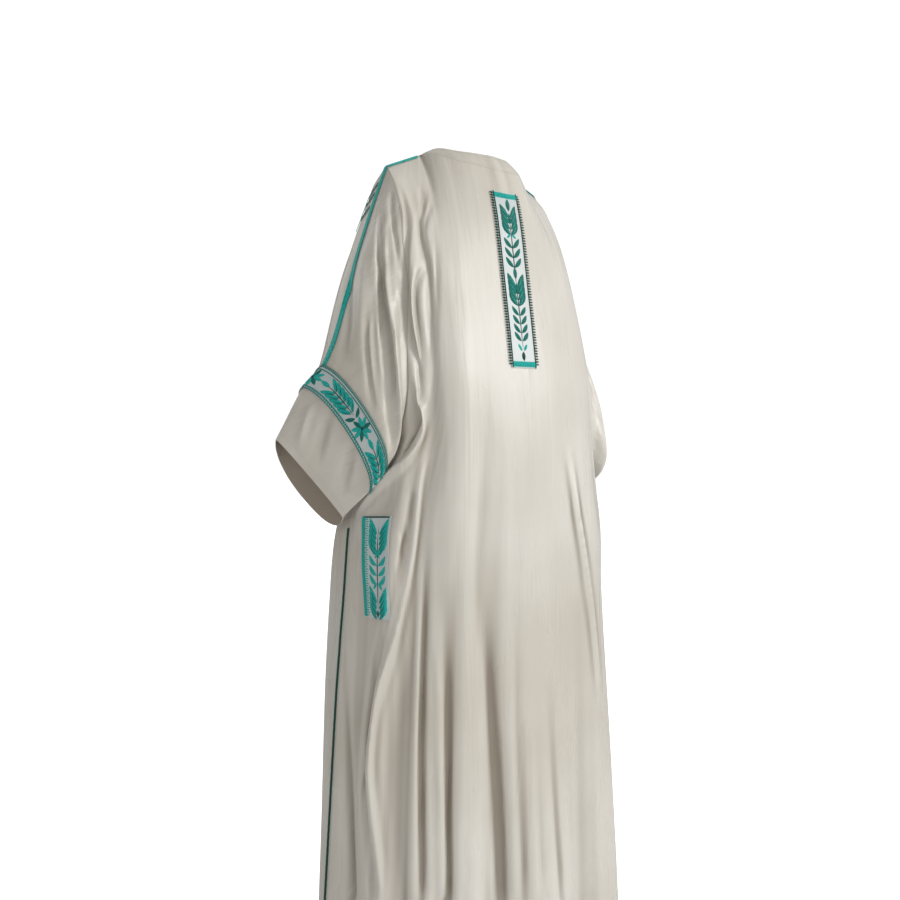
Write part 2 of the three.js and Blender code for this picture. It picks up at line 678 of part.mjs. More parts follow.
// ---------------------------------------------------------------- what lies on a panel
// The point of a panel at fractional places in its grid, lifted off it.
function onPanel(panel, i, j, lift) {
  const { grid, outward } = panel;
  const columns = grid[0].length;
  const j0 = Math.min(Math.floor(j), grid.length - 2);
  const i0 = panel.closedRound ? Math.floor(i) : Math.min(Math.floor(i), columns - 2);
  const at = (k) => ((k % columns) + columns) % columns;
  const blend = (table) => {
    const upper = table[j0][at(i0)].clone().lerp(table[j0][at(i0 + 1)], i - i0);
    const lower = table[j0 + 1][at(i0)].clone().lerp(table[j0 + 1][at(i0 + 1)], i - i0);
    return upper.lerp(lower, j - j0);
  };
  return blend(grid).addScaledVector(blend(outward).normalize(), lift);
}

// The fractional place in an ordered list, rising or falling.
function placeIn(list, value) {
  const rising = list[list.length - 1] > list[0];
  let i = 0;
  while (i < list.length - 2 && (rising ? value > list[i + 1] : value < list[i + 1])) i += 1;
  return i + (value - list[i]) / (list[i + 1] - list[i]);
}

// Walks a distance along a row of a panel from a fractional column.
function alongRow(panel, i, j, distance) {
  const stride = 0.05 * Math.sign(distance);
  let place = i;
  let left = Math.abs(distance);
  let from = onPanel(panel, place, j, 0);
  while (left > 0) {
    const to = onPanel(panel, place + stride, j, 0);
    const length = from.distanceTo(to);
    if (length >= left) return place + stride * (left / length);
    left -= length;
    place += stride;
    from = to;
  }
  return place;
}

// A strip down a panel between two rows: middle(v) is its centre's column value, width is measured across.
function stripDown(panel, { from, to, middle, width, across = 4, lift = layOn + stripThickness }) {
  const rows = [from, ...panel.rows.filter((v) => v > from + 0.004 && v < to - 0.004), to];
  const grid = rows.map((v) => {
    const j = placeIn(panel.rows, v);
    const centre = placeIn(panel.columns, middle(v));
    return steps(-0.5, 0.5, across).map((share) => {
      const i = share === 0 ? centre : alongRow(panel, centre, j, share * width);
      return onPanel(panel, i, j, lift);
    });
  });
  return { grid, outward: outwardOf(grid, false), closedRound: false };
}

// ---------------------------------------------------------------- seam directions
const sign = { left: 1, right: -1 };

// Round an armhole: share runs from the shoulder (0) to the underarm (1).
function armholeSeam(side, half, share, towardsBody) {
  const angle = share * Math.PI;
  const faces = half === 'back' ? 1 : -1;
  const rim = new THREE.Vector3(0.7 * sign[side], faces * Math.sin(angle), Math.cos(angle)).normalize();
  return { rim, away: new THREE.Vector3(-sign[side] * towardsBody, 0, 0), own: smooth(0.7, 0.9, share) };
}

function neckSeam(half, u, away) {
  const angle = Math.PI / 2 * Math.min(Math.abs(u) / neckShare, 1);
  const faces = half === 'back' ? 1 : -1;
  const rim = new THREE.Vector3(Math.sign(u) * Math.sin(angle) * 0.4, faces * Math.cos(angle) * 0.9, 0.8);
  return { rim, away: new THREE.Vector3(0, 0, away) };
}

function bodySeam(half, u, v) {
  const side = sideOf(u);
  const away = new THREE.Vector3(0, half === 'back' ? 1 : -1, 0);
  if (Math.abs(u) === 1) {
    return v < underarm
      ? armholeSeam(side, half, v / underarm, 1)
      : { rim: new THREE.Vector3(sign[side], 0, 0), away };
  }
  if (v > 0) return null;
  return Math.abs(u) >= neckShare ? { rim: new THREE.Vector3(0, 0, 1), away } : neckSeam(half, u, -1);
}

// ---------------------------------------------------------------- back and fronts
// Columns are closer together where the folds are.
const backColumns = [
  ...steps(-1, -neckShare, 10), ...steps(-neckShare, 0, 7).slice(1),
  ...steps(0, neckShare, 8).slice(1), ...steps(neckShare, 1, 13).slice(1),
];
const back = panelOf({
  columns: backColumns,
  rows: bodyRows,
  surface: (u, v) => bodyPoint('back', u, v),
  seams: (u, v) => bodySeam('back', u, v),
});
addPiece('back', back);

// The first three columns of a front lie where the fronts lap: past, on and before the centre line.
const lapColumn = 0.08;
const frontColumns = [-lapColumn, 0, lapColumn, ...steps(0.17, neckShare, 4), ...steps(neckShare, 1, 9).slice(1)];

// A front's share of the panel becomes u, signed towards its own side.
function frontAcross(side, column, v) {
  if (column > lapColumn) return sign[side] * column;
  const lap = frontLap / Math.abs(sideEdge('front', side, v).x) / (Math.PI / 2);
  return sign[side] * lap * column / lapColumn;
}
const lapLift = (side, u) => (side === 'right' ? lapClearance * smooth(-0.24, -0.14, u) : 0);

const fronts = {};
for (const side of ['left', 'right']) {
  fronts[side] = panelOf({
    columns: side === 'left' ? [...frontColumns].reverse() : frontColumns,
    rows: bodyRows,
    surface: (column, v) => {
      const u = frontAcross(side, column, v);
      const point = bodyPoint('front', u, v);
      point.y -= lapLift(side, u);
      return point;
    },
    seams: (column, v) => bodySeam('front', frontAcross(side, column, v), v),
  });
  addPiece(`front_${side}`, fronts[side]);
}

// ---------------------------------------------------------------- neckband
// It runs from the right front's lap, which lies on top, round the back to the left front's lap.
const neckColumns = frontColumns.filter((column) => column <= neckShare);
const neckPlaces = [
  ...neckColumns.map((column) => ({ half: 'front', side: 'right', u: frontAcross('right', column, 0) })),
  ...backColumns.filter((u) => Math.abs(u) < neckShare).map((u) => ({ half: 'back', side: sideOf(u), u })),
  ...[...neckColumns].reverse().map((column) => (
    { half: 'front', side: 'left', u: frontAcross('left', column, 0) })),
];
const neckbandCrown = 2;

function neckbandPoint({ half, side, u }, share) {
  const neck = necks[sideOf(u)];
  const t = half === 'back' ? Math.abs(u) / neckShare : 2 - Math.abs(u) / neckShare;
  const seam = vector(neck.seam(t));
  const point = seam.clone().lerp(vector(neck.edge(t)), share);
  const out = new THREE.Vector3(seam.x, seam.y, 0).normalize();
  point.addScaledVector(out, neckbandCrown * Math.sin(Math.PI * share));
  if (half === 'front') point.y -= lapLift(side, u);
  return point;
}
const neckband = panelOf({
  columns: neckPlaces,
  rows: [1, 0.5, 0],
  surface: neckbandPoint,
  seams: ({ half, u }, share) => (share === 0 ? neckSeam(half, u, 1) : null),
});
addPiece('neckband', neckband);

// ---------------------------------------------------------------- sleeves and their bands
const bandFrom = 0.70;
const bandTo = 0.81;
const sleeveRowsDown = [
  0, 0.03, 0.07, 0.12, 0.17, 0.23, 0.30, 0.38, 0.46, 0.54, 0.62, bandFrom, 0.755, bandTo, 0.87, 0.935, 1,
];
// A loop's columns meet the body's rows at the armhole, with one more between rows that lie far apart.
const wideRow = 0.0285;
const armholeRows = bodyRows.filter((v) => v <= underarm).flatMap((v, j, list) => {
  const next = list[j + 1];
  return next !== undefined && next - v > wideRow ? [v, (v + next) / 2] : [v];
});
const backLoop = armholeRows.map((v) => v / underarm / 2);
const loopColumns = [...backLoop, ...backLoop.slice(1, -1).reverse().map((w) => 1 - w)];
const loopSteps = loopColumns.length;
// Seen from outside, the left sleeve's loop turns the other way from the right one's.
const columnOf = (side, i) => (side === 'left' ? (loopSteps - i) % loopSteps : i);
const columnAt = (side, w) => {
  const place = placeIn([...loopColumns, 1], w);
  return side === 'left' ? loopSteps - place : place;
};

const sleeves = {};
for (const side of ['left', 'right']) {
  sleeves[side] = panelOf({
    columns: loopColumns.map((_, i) => loopColumns[columnOf(side, i)]),
    rows: sleeveRowsDown,
    closedRound: true,
    surface: (w, v) => sleevePoint(side, w, v),
    seams: (w, v) => {
      if (v > 0) return null;
      const { half, from, to, share } = armholePlace(w);
      const start = armholeSeam(side, half, from / underarm, -1);
      const end = armholeSeam(side, half, to / underarm, -1);
      return { rim: start.rim.lerp(end.rim, share), away: start.away, own: mix(start.own, end.own, share) };
    },
  });
  addPiece(`sleeve_${side}`, sleeves[side]);

  const bandPlaces = [bandFrom, 0.755, bandTo].map((v) => sleeveRowsDown.indexOf(v));
  const band = {
    grid: bandPlaces.map((j) => loopColumns.map((_, i) => (
      onPanel(sleeves[side], i, j, bandLayOn + stripThickness)))),
    outward: bandPlaces.map((j) => sleeves[side].outward[j]),
    closedRound: true,
  };
  addPiece(`band_${side}`, band, { thickness: stripThickness, colour: teal });
}

// ---------------------------------------------------------------- shoulder and overarm trim
// One strip from the neckband along the shoulder seam and on down the top of the sleeve to its band.
function seamStrip(centre, backwards, forwards) {
  const reach = (towards) => centre.clone().lerp(towards, trimWidth / 2 / centre.distanceTo(towards));
  return [reach(backwards), centre.clone(), reach(forwards)];
}

for (const side of ['left', 'right']) {
  const rows = [];
  const shoulder = frontColumns.filter((column) => column > neckShare);
  for (const column of shoulder) {
    const backColumn = placeIn(back.columns, sign[side] * column);
    const frontColumn = placeIn(fronts[side].columns, column);
    const seam = onPanel(back, backColumn, 0, 0).lerp(onPanel(fronts[side], frontColumn, 0, 0), 0.5);
    rows.push(seamStrip(seam, onPanel(back, backColumn, 1, 0), onPanel(fronts[side], frontColumn, 1, 0)));
  }
  const { grid, rows: sleeveV } = sleeves[side];
  const backNext = columnOf(side, 1);
  const frontNext = columnOf(side, loopSteps - 1);
  sleeveV.forEach((v, j) => {
    if (v > 0 && v < bandFrom) rows.push(seamStrip(grid[j][0], grid[j][backNext], grid[j][frontNext]));
  });
  const last = sleeveRowsDown.indexOf(bandFrom);
  const end = seamStrip(grid[last][0], grid[last][backNext], grid[last][frontNext]);
  const before = rows[rows.length - 1];
  rows.push(end.map((point, k) => point.lerp(before[k], 2 / point.distanceTo(before[k]))));
  const strip = side === 'left' ? rows : rows.map((row) => [...row].reverse());
  const outward = outwardOf(strip, false);
  strip.forEach((row, j) => row.forEach((point, i) => (
    point.addScaledVector(outward[j][i], layOn + stripThickness))));
  addPiece(`overarm_trim_${side}`, { grid: strip, outward, closedRound: false },
    { thickness: stripThickness, colour: teal });
}

// Three short stripes run forwards from the trim at each shoulder.
const stripePlaces = [0.045, 0.085, 0.135];
const stripeStart = 0.985;
const stripeEnd = 0.925;
for (const side of ['left', 'right']) {
  stripePlaces.forEach((v, k) => {
    const sleeve = sleeves[side];
    const rows = [-0.5, 0.5].map((edge) => {
      const place = placeIn(sleeve.rows, v + edge * stripeWidth / 560);
      return steps(columnAt(side, stripeStart), columnAt(side, stripeEnd), 5)
        .map((i) => onPanel(sleeve, i, place, layOn + stripThickness));
    });
    const strip = side === 'left' ? rows : rows.map((row) => [...row].reverse());
    addPiece(`shoulder_stripe_${side}_${k + 1}`, { grid: strip, outward: outwardOf(strip, false) },
      { thickness: stripThickness, colour: darkTeal });
  });
}

// ---------------------------------------------------------------- embroidered strips on the back
const rowAtHeight = (z) => {
  const column = placeIn(back.columns, 0);
  const heights = bodyRows.map((_, j) => onPanel(back, column, j, 0).z);
  const j = placeIn(heights, z);
  const above = Math.floor(j);
  return mix(bodyRows[above], bodyRows[above + 1], j - above);
};

addPiece('back_strip', stripDown(back, {
  from: rowAtHeight(backStripTop),
  to: rowAtHeight(backStripBottom),
  middle: () => 0,
  width: backStripWidth,
}), { thickness: stripThickness, colour: satinLight });

const sidePanelAxis = { top: 0.775, bottom: 0.72 };
const sidePanelFrom = rowAtHeight(sidePanelTop);
const sidePanelTo = rowAtHeight(sidePanelBottom);
addPiece('side_panel_left', stripDown(back, {
  from: sidePanelFrom,
  to: sidePanelTo,
  middle: (v) => mix(sidePanelAxis.top, sidePanelAxis.bottom, (v - sidePanelFrom) / (sidePanelTo - sidePanelFrom)),
  width: sidePanelWidth,
  across: 8,
  lift: panelLayOn + stripThickness,
}), { thickness: stripThickness, colour: satinLight });

// ---------------------------------------------------------------- piping on the side seams
const pipingFrom = 0.465;
for (const side of ['left', 'right']) {
  const rows = [pipingFrom, ...bodyRows.filter((v) => v > pipingFrom)];
  const strip = rows.map((v) => [1, 0, -1].map((across) => {
    const seam = vector(sideEdge('back', side, v));
    const rise = layOn + pipingHeight * (across === 0 ? 1 : 0.6);
    return seam.add(new THREE.Vector3(sign[side] * rise, across * pipingWidth / 2, 0));
  }));
  const grid = side === 'left' ? strip : strip.map((row) => [...row].reverse());
  const outward = grid.map((row) => row.map(() => new THREE.Vector3(sign[side], 0, 0)));
  addPiece(`side_piping_${side}`, { grid, outward }, { thickness: pipingHeight * 0.6, colour: darkTeal });
}

export default garment;
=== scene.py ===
import math

import bmesh
import bpy
import numpy as np
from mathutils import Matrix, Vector
from mathutils.bvhtree import BVHTree


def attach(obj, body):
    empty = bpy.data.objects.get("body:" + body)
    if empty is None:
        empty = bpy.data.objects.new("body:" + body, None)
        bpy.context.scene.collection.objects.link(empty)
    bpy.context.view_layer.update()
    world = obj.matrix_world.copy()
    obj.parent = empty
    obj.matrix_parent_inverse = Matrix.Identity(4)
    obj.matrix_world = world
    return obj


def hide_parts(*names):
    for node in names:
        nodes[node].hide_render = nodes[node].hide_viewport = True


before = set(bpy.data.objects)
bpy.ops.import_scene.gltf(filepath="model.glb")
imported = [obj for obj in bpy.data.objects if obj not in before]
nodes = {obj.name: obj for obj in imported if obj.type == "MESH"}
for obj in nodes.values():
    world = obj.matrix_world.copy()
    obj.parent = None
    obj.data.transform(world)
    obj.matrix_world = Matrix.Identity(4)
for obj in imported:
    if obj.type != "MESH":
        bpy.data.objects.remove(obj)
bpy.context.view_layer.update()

print("frame loaded")


# camera, floor and light
view = {"location": (1.425, 2.054, -0.556), "turn": 146.0, "lens": 52.8}
studio = {
    "floorHeight": -1.446,
    "floorSize": 40.0,
    "paper": (1.0, 1.0, 1.0),
    "paperGlow": 1.06,        # what the camera sees of the world and of the floor
    "ambient": (0.08, 0.86),  # what lights the garment, from the dark side to the light side of the room
    "lightSide": (-0.45, 0.62, 0.64),
    "darkestFacing": -0.35,   # where the light side starts to fade in
    "lights": (               # name, place, what it faces, size, power and colour
        ("keyLight", (-1.15, 2.6, 0.55), (0, 0, -0.62), 0.8, 39.0, (1.0, 0.985, 0.96)),
        ("fillLight", (2.6, 1.0, 0.2), (0, 0, -0.6), 2.0, 9.0, (1.0, 0.98, 0.95)),
        ("frontLight", (1.4, -2.6, 0.8), (0, 0, -0.6), 2.2, 14.0, (1.0, 0.98, 0.95)),
    ),
}


def clearSelection():
    bpy.ops.object.select_all(action="DESELECT")


def selectOnly(piece):
    clearSelection()
    bpy.context.view_layer.objects.active = piece
    piece.select_set(True)


def linkObject(name, data):
    piece = bpy.data.objects.new(name, data)
    bpy.context.scene.collection.objects.link(piece)
    return piece


def makeCamera():
    turned = (math.pi / 2, 0, math.radians(view["turn"]))
    bpy.ops.object.camera_add(location=view["location"], rotation=turned)
    camera = bpy.context.active_object
    camera.name = "photoView"
    camera.data.lens = view["lens"]
    camera.data.sensor_width = 36.0
    camera.data.clip_end = 100.0
    bpy.context.scene.camera = camera


def areaLight(name, location, target, size, power, colour):
    bpy.ops.object.light_add(type="AREA", location=location)
    light = bpy.context.active_object
    light.name = name
    light.data.shape = "DISK"
    light.data.size = size
    light.data.energy = power
    light.data.color = colour
    light.rotation_euler = (Vector(target) - Vector(location)).to_track_quat("-Z", "Y").to_euler()


def glowWhereSeen(tree, socket):
    # The camera sees the plain pale backdrop, and the garment is lit by less than that.
    path = tree.nodes.new("ShaderNodeLightPath")
    spread = tree.nodes.new("ShaderNodeMapRange")
    spread.inputs["To Min"].default_value = 0.0
    spread.inputs["To Max"].default_value = studio["paperGlow"]
    tree.links.new(path.outputs["Is Camera Ray"], spread.inputs["Value"])
    tree.links.new(spread.outputs[0], socket)
    return spread


def roomLight(tree, socket):
    # The room is light on one side and dark on the other, which draws the folds.
    coordinates = tree.nodes.new("ShaderNodeTexCoord")
    facing = tree.nodes.new("ShaderNodeVectorMath")
    facing.operation = "DOT_PRODUCT"
    facing.inputs[1].default_value = studio["lightSide"]
    tree.links.new(coordinates.outputs["Generated"], facing.inputs[0])
    spread = tree.nodes.new("ShaderNodeMapRange")
    spread.interpolation_type = "SMOOTHSTEP"
    spread.inputs["From Min"].default_value = studio["darkestFacing"]
    spread.inputs["To Min"].default_value, spread.inputs["To Max"].default_value = studio["ambient"]
    tree.links.new(facing.outputs["Value"], spread.inputs["Value"])
    tree.links.new(spread.outputs[0], socket)


def makeStudio():
    clearSelection()
    bpy.ops.mesh.primitive_plane_add(size=studio["floorSize"], location=(0, 0, studio["floorHeight"]))
    floor = bpy.context.active_object
    floor.name = "studioFloor"
    paper = bpy.data.materials.new("paperFloor")
    paper.use_nodes = True
    paperShader = paper.node_tree.nodes["Principled BSDF"]
    paperShader.inputs["Base Color"].default_value = (0.8, 0.8, 0.8, 1)
    paperShader.inputs["Roughness"].default_value = 0.9
    paperShader.inputs["Emission Color"].default_value = (*studio["paper"], 1)
    glowWhereSeen(paper.node_tree, paperShader.inputs["Emission Strength"])
    floor.data.materials.append(paper)
    world = bpy.data.worlds.new("studioWorld")
    world.use_nodes = True
    background = world.node_tree.nodes["Background"]
    background.inputs["Color"].default_value = (*studio["paper"], 1)
    glow = glowWhereSeen(world.node_tree, background.inputs["Strength"])
    roomLight(world.node_tree, glow.inputs["To Min"])
    bpy.context.scene.world = world
    bpy.context.scene.view_settings.view_transform = "Standard"
    for light in studio["lights"]:
        areaLight(*light)


makeCamera()
makeStudio()
print("camera, floor and lights made")


# a node's outer sheet as a grid
rimEdge = 0.0018  # a wall's rim faces have an edge as short as the wall is thick
insideGarment = Vector((0, 0, -0.6))


def islandsOf(faces):
    seen = set()
    islands = []
    for first in faces:
        if first in seen:
            continue
        seen.add(first)
        waiting = [first]
        island = []
        while waiting:
            face = waiting.pop()
            island.append(face)
            for edge in face.edges:
                for other in edge.link_faces:
                    if other not in seen:
                        seen.add(other)
                        waiting.append(other)
        islands.append(island)
    return islands


def facesOutward(island, closedRound):
    centres = [face.calc_center_median() for face in island]
    inside = sum(centres, Vector()) / len(centres) if closedRound else insideGarment
    return sum(face.calc_area() * face.normal.dot(centre - inside) for face, centre in zip(island, centres))


def numberCorners(island, closedRound):
    # Every vertex gets its column and row. Each triangle is half of a cell, and the next follows from it.
    inIsland = set(island)
    shared = lambda vert: sum(face in inIsland for face in vert.link_faces)
    if closedRound:
        edge = next(edge for face in island for edge in face.edges if len(edge.link_faces) == 1)
        loop = edge.link_loops[0]
        first, second, third = loop.vert, loop.link_loop_next.vert, loop.link_loop_prev.vert
    else:
        corner = next(vert for face in island for vert in face.verts if shared(vert) == 1)
        loop = next(loop for loop in corner.link_loops if loop.face in inIsland)
        first, second, third = loop.link_loop_prev.vert, corner, loop.link_loop_next.vert
    places = {first: (0, 0), second: (1, 0), third: (1, 1)}
    waiting = [loop.face]
    done = set(waiting)
    while waiting:
        face = waiting.pop(0)
        for edge in face.edges:
            opposite = next(vert for vert in face.verts if vert not in edge.verts)
            for other in edge.link_faces:
                if other in done or other not in inIsland:
                    continue
                done.add(other)
                waiting.append(other)
                a, b, c = places[edge.verts[0]], places[edge.verts[1]], places[opposite]
                tip = next(vert for vert in other.verts if vert not in edge.verts)
                places.setdefault(tip, (a[0] + b[0] - c[0], a[1] + b[1] - c[1]))
    return places


def readSheet(name, closedRound=False):
    # Columns run so that (across) x (down) points out of the cloth, and rows run downwards.
    mesh = bmesh.new()
    mesh.from_mesh(nodes[name].data)
    bmesh.ops.remove_doubles(mesh, verts=mesh.verts, dist=1e-5)
    rim = [face for face in mesh.faces if min(edge.calc_length() for edge in face.edges) < rimEdge]
    bmesh.ops.delete(mesh, geom=rim, context="FACES")
    islands = islandsOf(mesh.faces)
    island = max(islands, key=lambda faces: facesOutward(faces, closedRound))
    places = numberCorners(island, closedRound)
    top = min(row for column, row in places.values())
    rows = max(row for column, row in places.values()) - top + 1
    columns = len(places) // rows
    left = 0 if closedRound else min(column for column, row in places.values())
    grid = np.zeros((rows, columns, 3))
    for vert, (column, row) in places.items():
        grid[row - top, (column - left) % columns] = vert.co
    mesh.free()
    if grid[0, :, 2].mean() < grid[-1, :, 2].mean():
        grid = grid[::-1, ::-1]
    if closedRound:
        grid = np.roll(grid, -int(grid[0, :, 2].argmax()), axis=1)
    return {"grid": grid, "closedRound": closedRound}


# smooth cloth through a grid
def splineWeights(count, places, closedRound):
    # Each place's share of every row or column, as a smooth curve through them.
    weights = np.zeros((len(places), count))
    for index, place in enumerate(places):
        start = math.floor(place) if closedRound else min(max(math.floor(place), 0), count - 2)
        s = place - start
        blend = (
            -0.5 * s + s * s - 0.5 * s ** 3,
            1 - 2.5 * s * s + 1.5 * s ** 3,
            0.5 * s + 2 * s * s - 1.5 * s ** 3,
            -0.5 * s * s + 0.5 * s ** 3,
        )
        for offset, share in zip((-1, 0, 1, 2), blend):
            at = start + offset
            if closedRound:
                weights[index, at % count] += share
            elif at < 0:
                weights[index, 0] += 2 * share
                weights[index, 1] -= share
            elif at > count - 1:
                weights[index, count - 1] += 2 * share
                weights[index, count - 2] -= share
            else:
                weights[index, at] += share
    return weights


def unit(vectors):
    return vectors / np.maximum(np.linalg.norm(vectors, axis=-1, keepdims=True), 1e-12)


creases = []  # every crease: rows of place, outward direction, depth and width, in metres
# samples a row, how many widths a crease reaches, and how sharply the cloth's other side is left out
creaseSection = {"samples": 14, "reach": 3, "sameSide": 2.5}


def creaseShift(points, normals):
    # How the creases raise or sink each point: each is a line on the cloth with a soft section.
    flatPoints, flatNormals = points.reshape(-1, 3), normals.reshape(-1, 3)
    shift = np.zeros_like(flatPoints)
    for crease in creases:
        line = np.array(crease)
        marks = np.linspace(0, len(line) - 1, creaseSection["samples"] * len(line))
        samples = splineWeights(len(line), marks, False) @ line
        way = unit(np.gradient(samples[:, :3], axis=0))
        halfStep = np.linalg.norm(np.diff(samples[:, :3], axis=0), axis=1).max() / 2
        reach = creaseSection["reach"] * samples[:, 7].max()
        near = np.all(flatPoints > samples[:, :3].min(0) - reach, axis=1)
        near &= np.all(flatPoints < samples[:, :3].max(0) + reach, axis=1)
        if not near.any():
            continue
        closest = np.linalg.norm(flatPoints[near][:, None] - samples[None, :, :3], axis=2).argmin(1)
        offset = flatPoints[near] - samples[closest, :3]
        along = np.clip(np.sum(offset * way[closest], axis=1), -halfStep, halfStep)
        gaps = np.linalg.norm(offset - way[closest] * along[:, None], axis=1)
        facing = np.sum(flatNormals[near] * samples[closest, 3:6], axis=1)
        sameSide = np.clip(creaseSection["sameSide"] * facing, 0, 1)
        depth = sameSide * samples[closest, 6] * np.exp(-((gaps / samples[closest, 7]) ** 2))
        shift[near] += unit(samples[closest, 3:6]) * depth[:, None]
    return shift.reshape(points.shape)


surfaceNudge = 0.02  # how far apart two places are, in cells, that give the cloth's direction
patterns = {"grid": "rm,mnk,cn->rck", "pairs": "pm,mnk,pn->pk"}


def clothAt(sheet, across, down, pattern="grid"):
    # Points and outward directions at columns x rows of fractional places, or at single pairs of them.
    grid = sheet["grid"]
    steps = (0, surfaceNudge)
    rowShares = [splineWeights(grid.shape[0], down + step, False) for step in steps]
    columnShares = [splineWeights(grid.shape[1], across + step, sheet["closedRound"]) for step in steps]
    place = lambda rows, columns: np.einsum(patterns[pattern], rows, grid, columns, optimize=True)
    points = place(rowShares[0], columnShares[0])
    acrossWay = place(rowShares[0], columnShares[1]) - points
    downWay = place(rowShares[1], columnShares[0]) - points
    normals = unit(np.cross(acrossWay, downWay))
    return points + creaseShift(points, normals), normals


def gridNormals(points):
    down = np.gradient(points, axis=0)
    across = np.gradient(points, axis=1)
    return unit(np.cross(across, down))


def arcs(points, axis):
    # Distance along the rows (axis 1) or the columns (axis 0), in metres.
    steps = np.linalg.norm(np.diff(points, axis=axis), axis=2)
    start = np.zeros_like(np.take(steps, [0], axis=axis))
    return np.concatenate([start, np.cumsum(steps, axis=axis)], axis=axis)


def lengthsAlong(path):
    return np.concatenate([[0], np.cumsum(np.linalg.norm(np.diff(path, axis=0), axis=1))])


def cellsOf(points, closedRound):
    rows, columns = points.shape[:2]
    last = columns if closedRound else columns - 1
    return [(j, i) for j in range(rows - 1) for i in range(last)]


def quadsOf(points, closedRound):
    columns = points.shape[1]
    quads = []
    for j, i in cellsOf(points, closedRound):
        after = (i + 1) % columns
        upper, lower = j * columns, (j + 1) * columns
        quads.append((upper + i, upper + after, lower + after, lower + i))
    return quads


def sheetMesh(name, points, closedRound):
    # A fine sheet of quads with a cloth map in metres, u across and v down.
    quads = quadsOf(points, closedRound)
    mesh = bpy.data.meshes.new(name)
    mesh.from_pydata(points.reshape(-1, 3).tolist(), [], quads)
    ring = np.concatenate([points, points[:, :1]], axis=1) if closedRound else points
    across = arcs(ring, 1)
    across = across - across[:, across.shape[1] // 2][:, None]
    down = arcs(ring, 0)
    uvMap = mesh.uv_layers.new(name="clothMap")
    uvs = np.zeros((len(quads), 4, 2))
    for place, (j, i) in enumerate(cellsOf(points, closedRound)):
        for corner, (row, column) in enumerate(((j, i), (j, i + 1), (j + 1, i + 1), (j + 1, i))):
            uvs[place, corner] = (across[row, column], -down[row, column])
    uvMap.data.foreach_set("uv", uvs.reshape(-1))
    mesh.update()
    return linkObject(name, mesh)


def applyModifiers(piece):
    selectOnly(piece)
    for modifier in list(piece.modifiers):
        bpy.ops.object.modifier_apply(modifier=modifier.name)


def thicken(piece, thickness, innerSlot=0):
    wall = piece.modifiers.new("wall", "SOLIDIFY")
    wall.thickness = thickness
    wall.offset = -1.0
    wall.use_even_offset = False
    wall.material_offset = innerSlot
    applyModifiers(piece)


def smoothShade(piece, angle=50.0):
    selectOnly(piece)
    bpy.ops.object.shade_smooth_by_angle(angle=math.radians(angle))


# materials
def nodeGroup(name, inputs, outputs):
    group = bpy.data.node_groups.new(name, "ShaderNodeTree")
    for label, kind, value in inputs:
        socket = group.interface.new_socket(name=label, in_out="INPUT", socket_type="NodeSocket" + kind)
        if value is not None:
            socket.default_value = value
    for label, kind in outputs:
        group.interface.new_socket(name=label, in_out="OUTPUT", socket_type="NodeSocket" + kind)
    return group, group.nodes.new("NodeGroupInput"), group.nodes.new("NodeGroupOutput")


def addNode(tree, kind, values=(), **settings):
    node = tree.nodes.new("ShaderNode" + kind)
    for key, value in settings.items():
        setattr(node, key, value)
    for key, value in dict(values).items():
        node.inputs[key].default_value = value
    return node


def mathNode(tree, operation, first, second=None):
    node = addNode(tree, "Math", operation=operation)
    for socket, value in zip(node.inputs, (first, second)):
        if isinstance(value, (int, float)):
            socket.default_value = value
        elif value is not None:
            tree.links.new(value, socket)
    return node.outputs[0]


def product(tree, first, second):
    return mathNode(tree, "MULTIPLY", first, second)


def total(tree, first, second):
    return mathNode(tree, "ADD", first, second)


def wave(tree, turns):
    return mathNode(tree, "SINE", product(tree, turns, 2 * math.pi))


def rampNode(tree, factor, stops):
    node = addNode(tree, "ValToRGB")
    tree.links.new(factor, node.inputs[0])
    for index, (place, colour) in enumerate(stops):
        stop = node.color_ramp.elements[index] if index < 2 else node.color_ramp.elements.new(place)
        stop.position = place
        stop.color = (*colour, 1)
    return node.outputs[0]


def makeWeaveGroup():
    # Satin weave: long floats down the cloth, shifted from thread to thread, with broad pressed creases.
    group, source, result = nodeGroup(
        "satinWeave",
        [("Map", "Vector", None), ("Place", "Vector", None), ("Threads", "Float", 1500.0)],
        [("Weave", "Float"), ("Creases", "Float"), ("Tone", "Float")],
    )
    link = group.links.new
    split = addNode(group, "SeparateXYZ")
    link(source.outputs["Map"], split.inputs[0])
    warp = product(group, split.outputs["X"], source.outputs["Threads"])
    weft = product(group, split.outputs["Y"], source.outputs["Threads"])
    slant = total(group, product(group, weft, 0.2), product(group, warp, 0.6))
    ribs = product(group, wave(group, warp), 0.6)
    floats = product(group, wave(group, slant), 0.4)
    link(total(group, ribs, floats), result.inputs["Weave"])
    stretched = addNode(group, "Mapping", {"Scale": (20.0, 1.5, 1.0)})
    link(source.outputs["Map"], stretched.inputs["Vector"])
    creases = addNode(group, "TexNoise", {"Scale": 1.0, "Detail": 3.0, "Roughness": 0.5, "Distortion": 0.4})
    link(stretched.outputs[0], creases.inputs["Vector"])
    link(creases.outputs["Fac"], result.inputs["Creases"])
    tone = addNode(group, "TexNoise", {"Scale": 3.2, "Detail": 2.0, "Roughness": 0.5})
    link(source.outputs["Place"], tone.inputs["Vector"])
    link(tone.outputs["Fac"], result.inputs["Tone"])
    return group


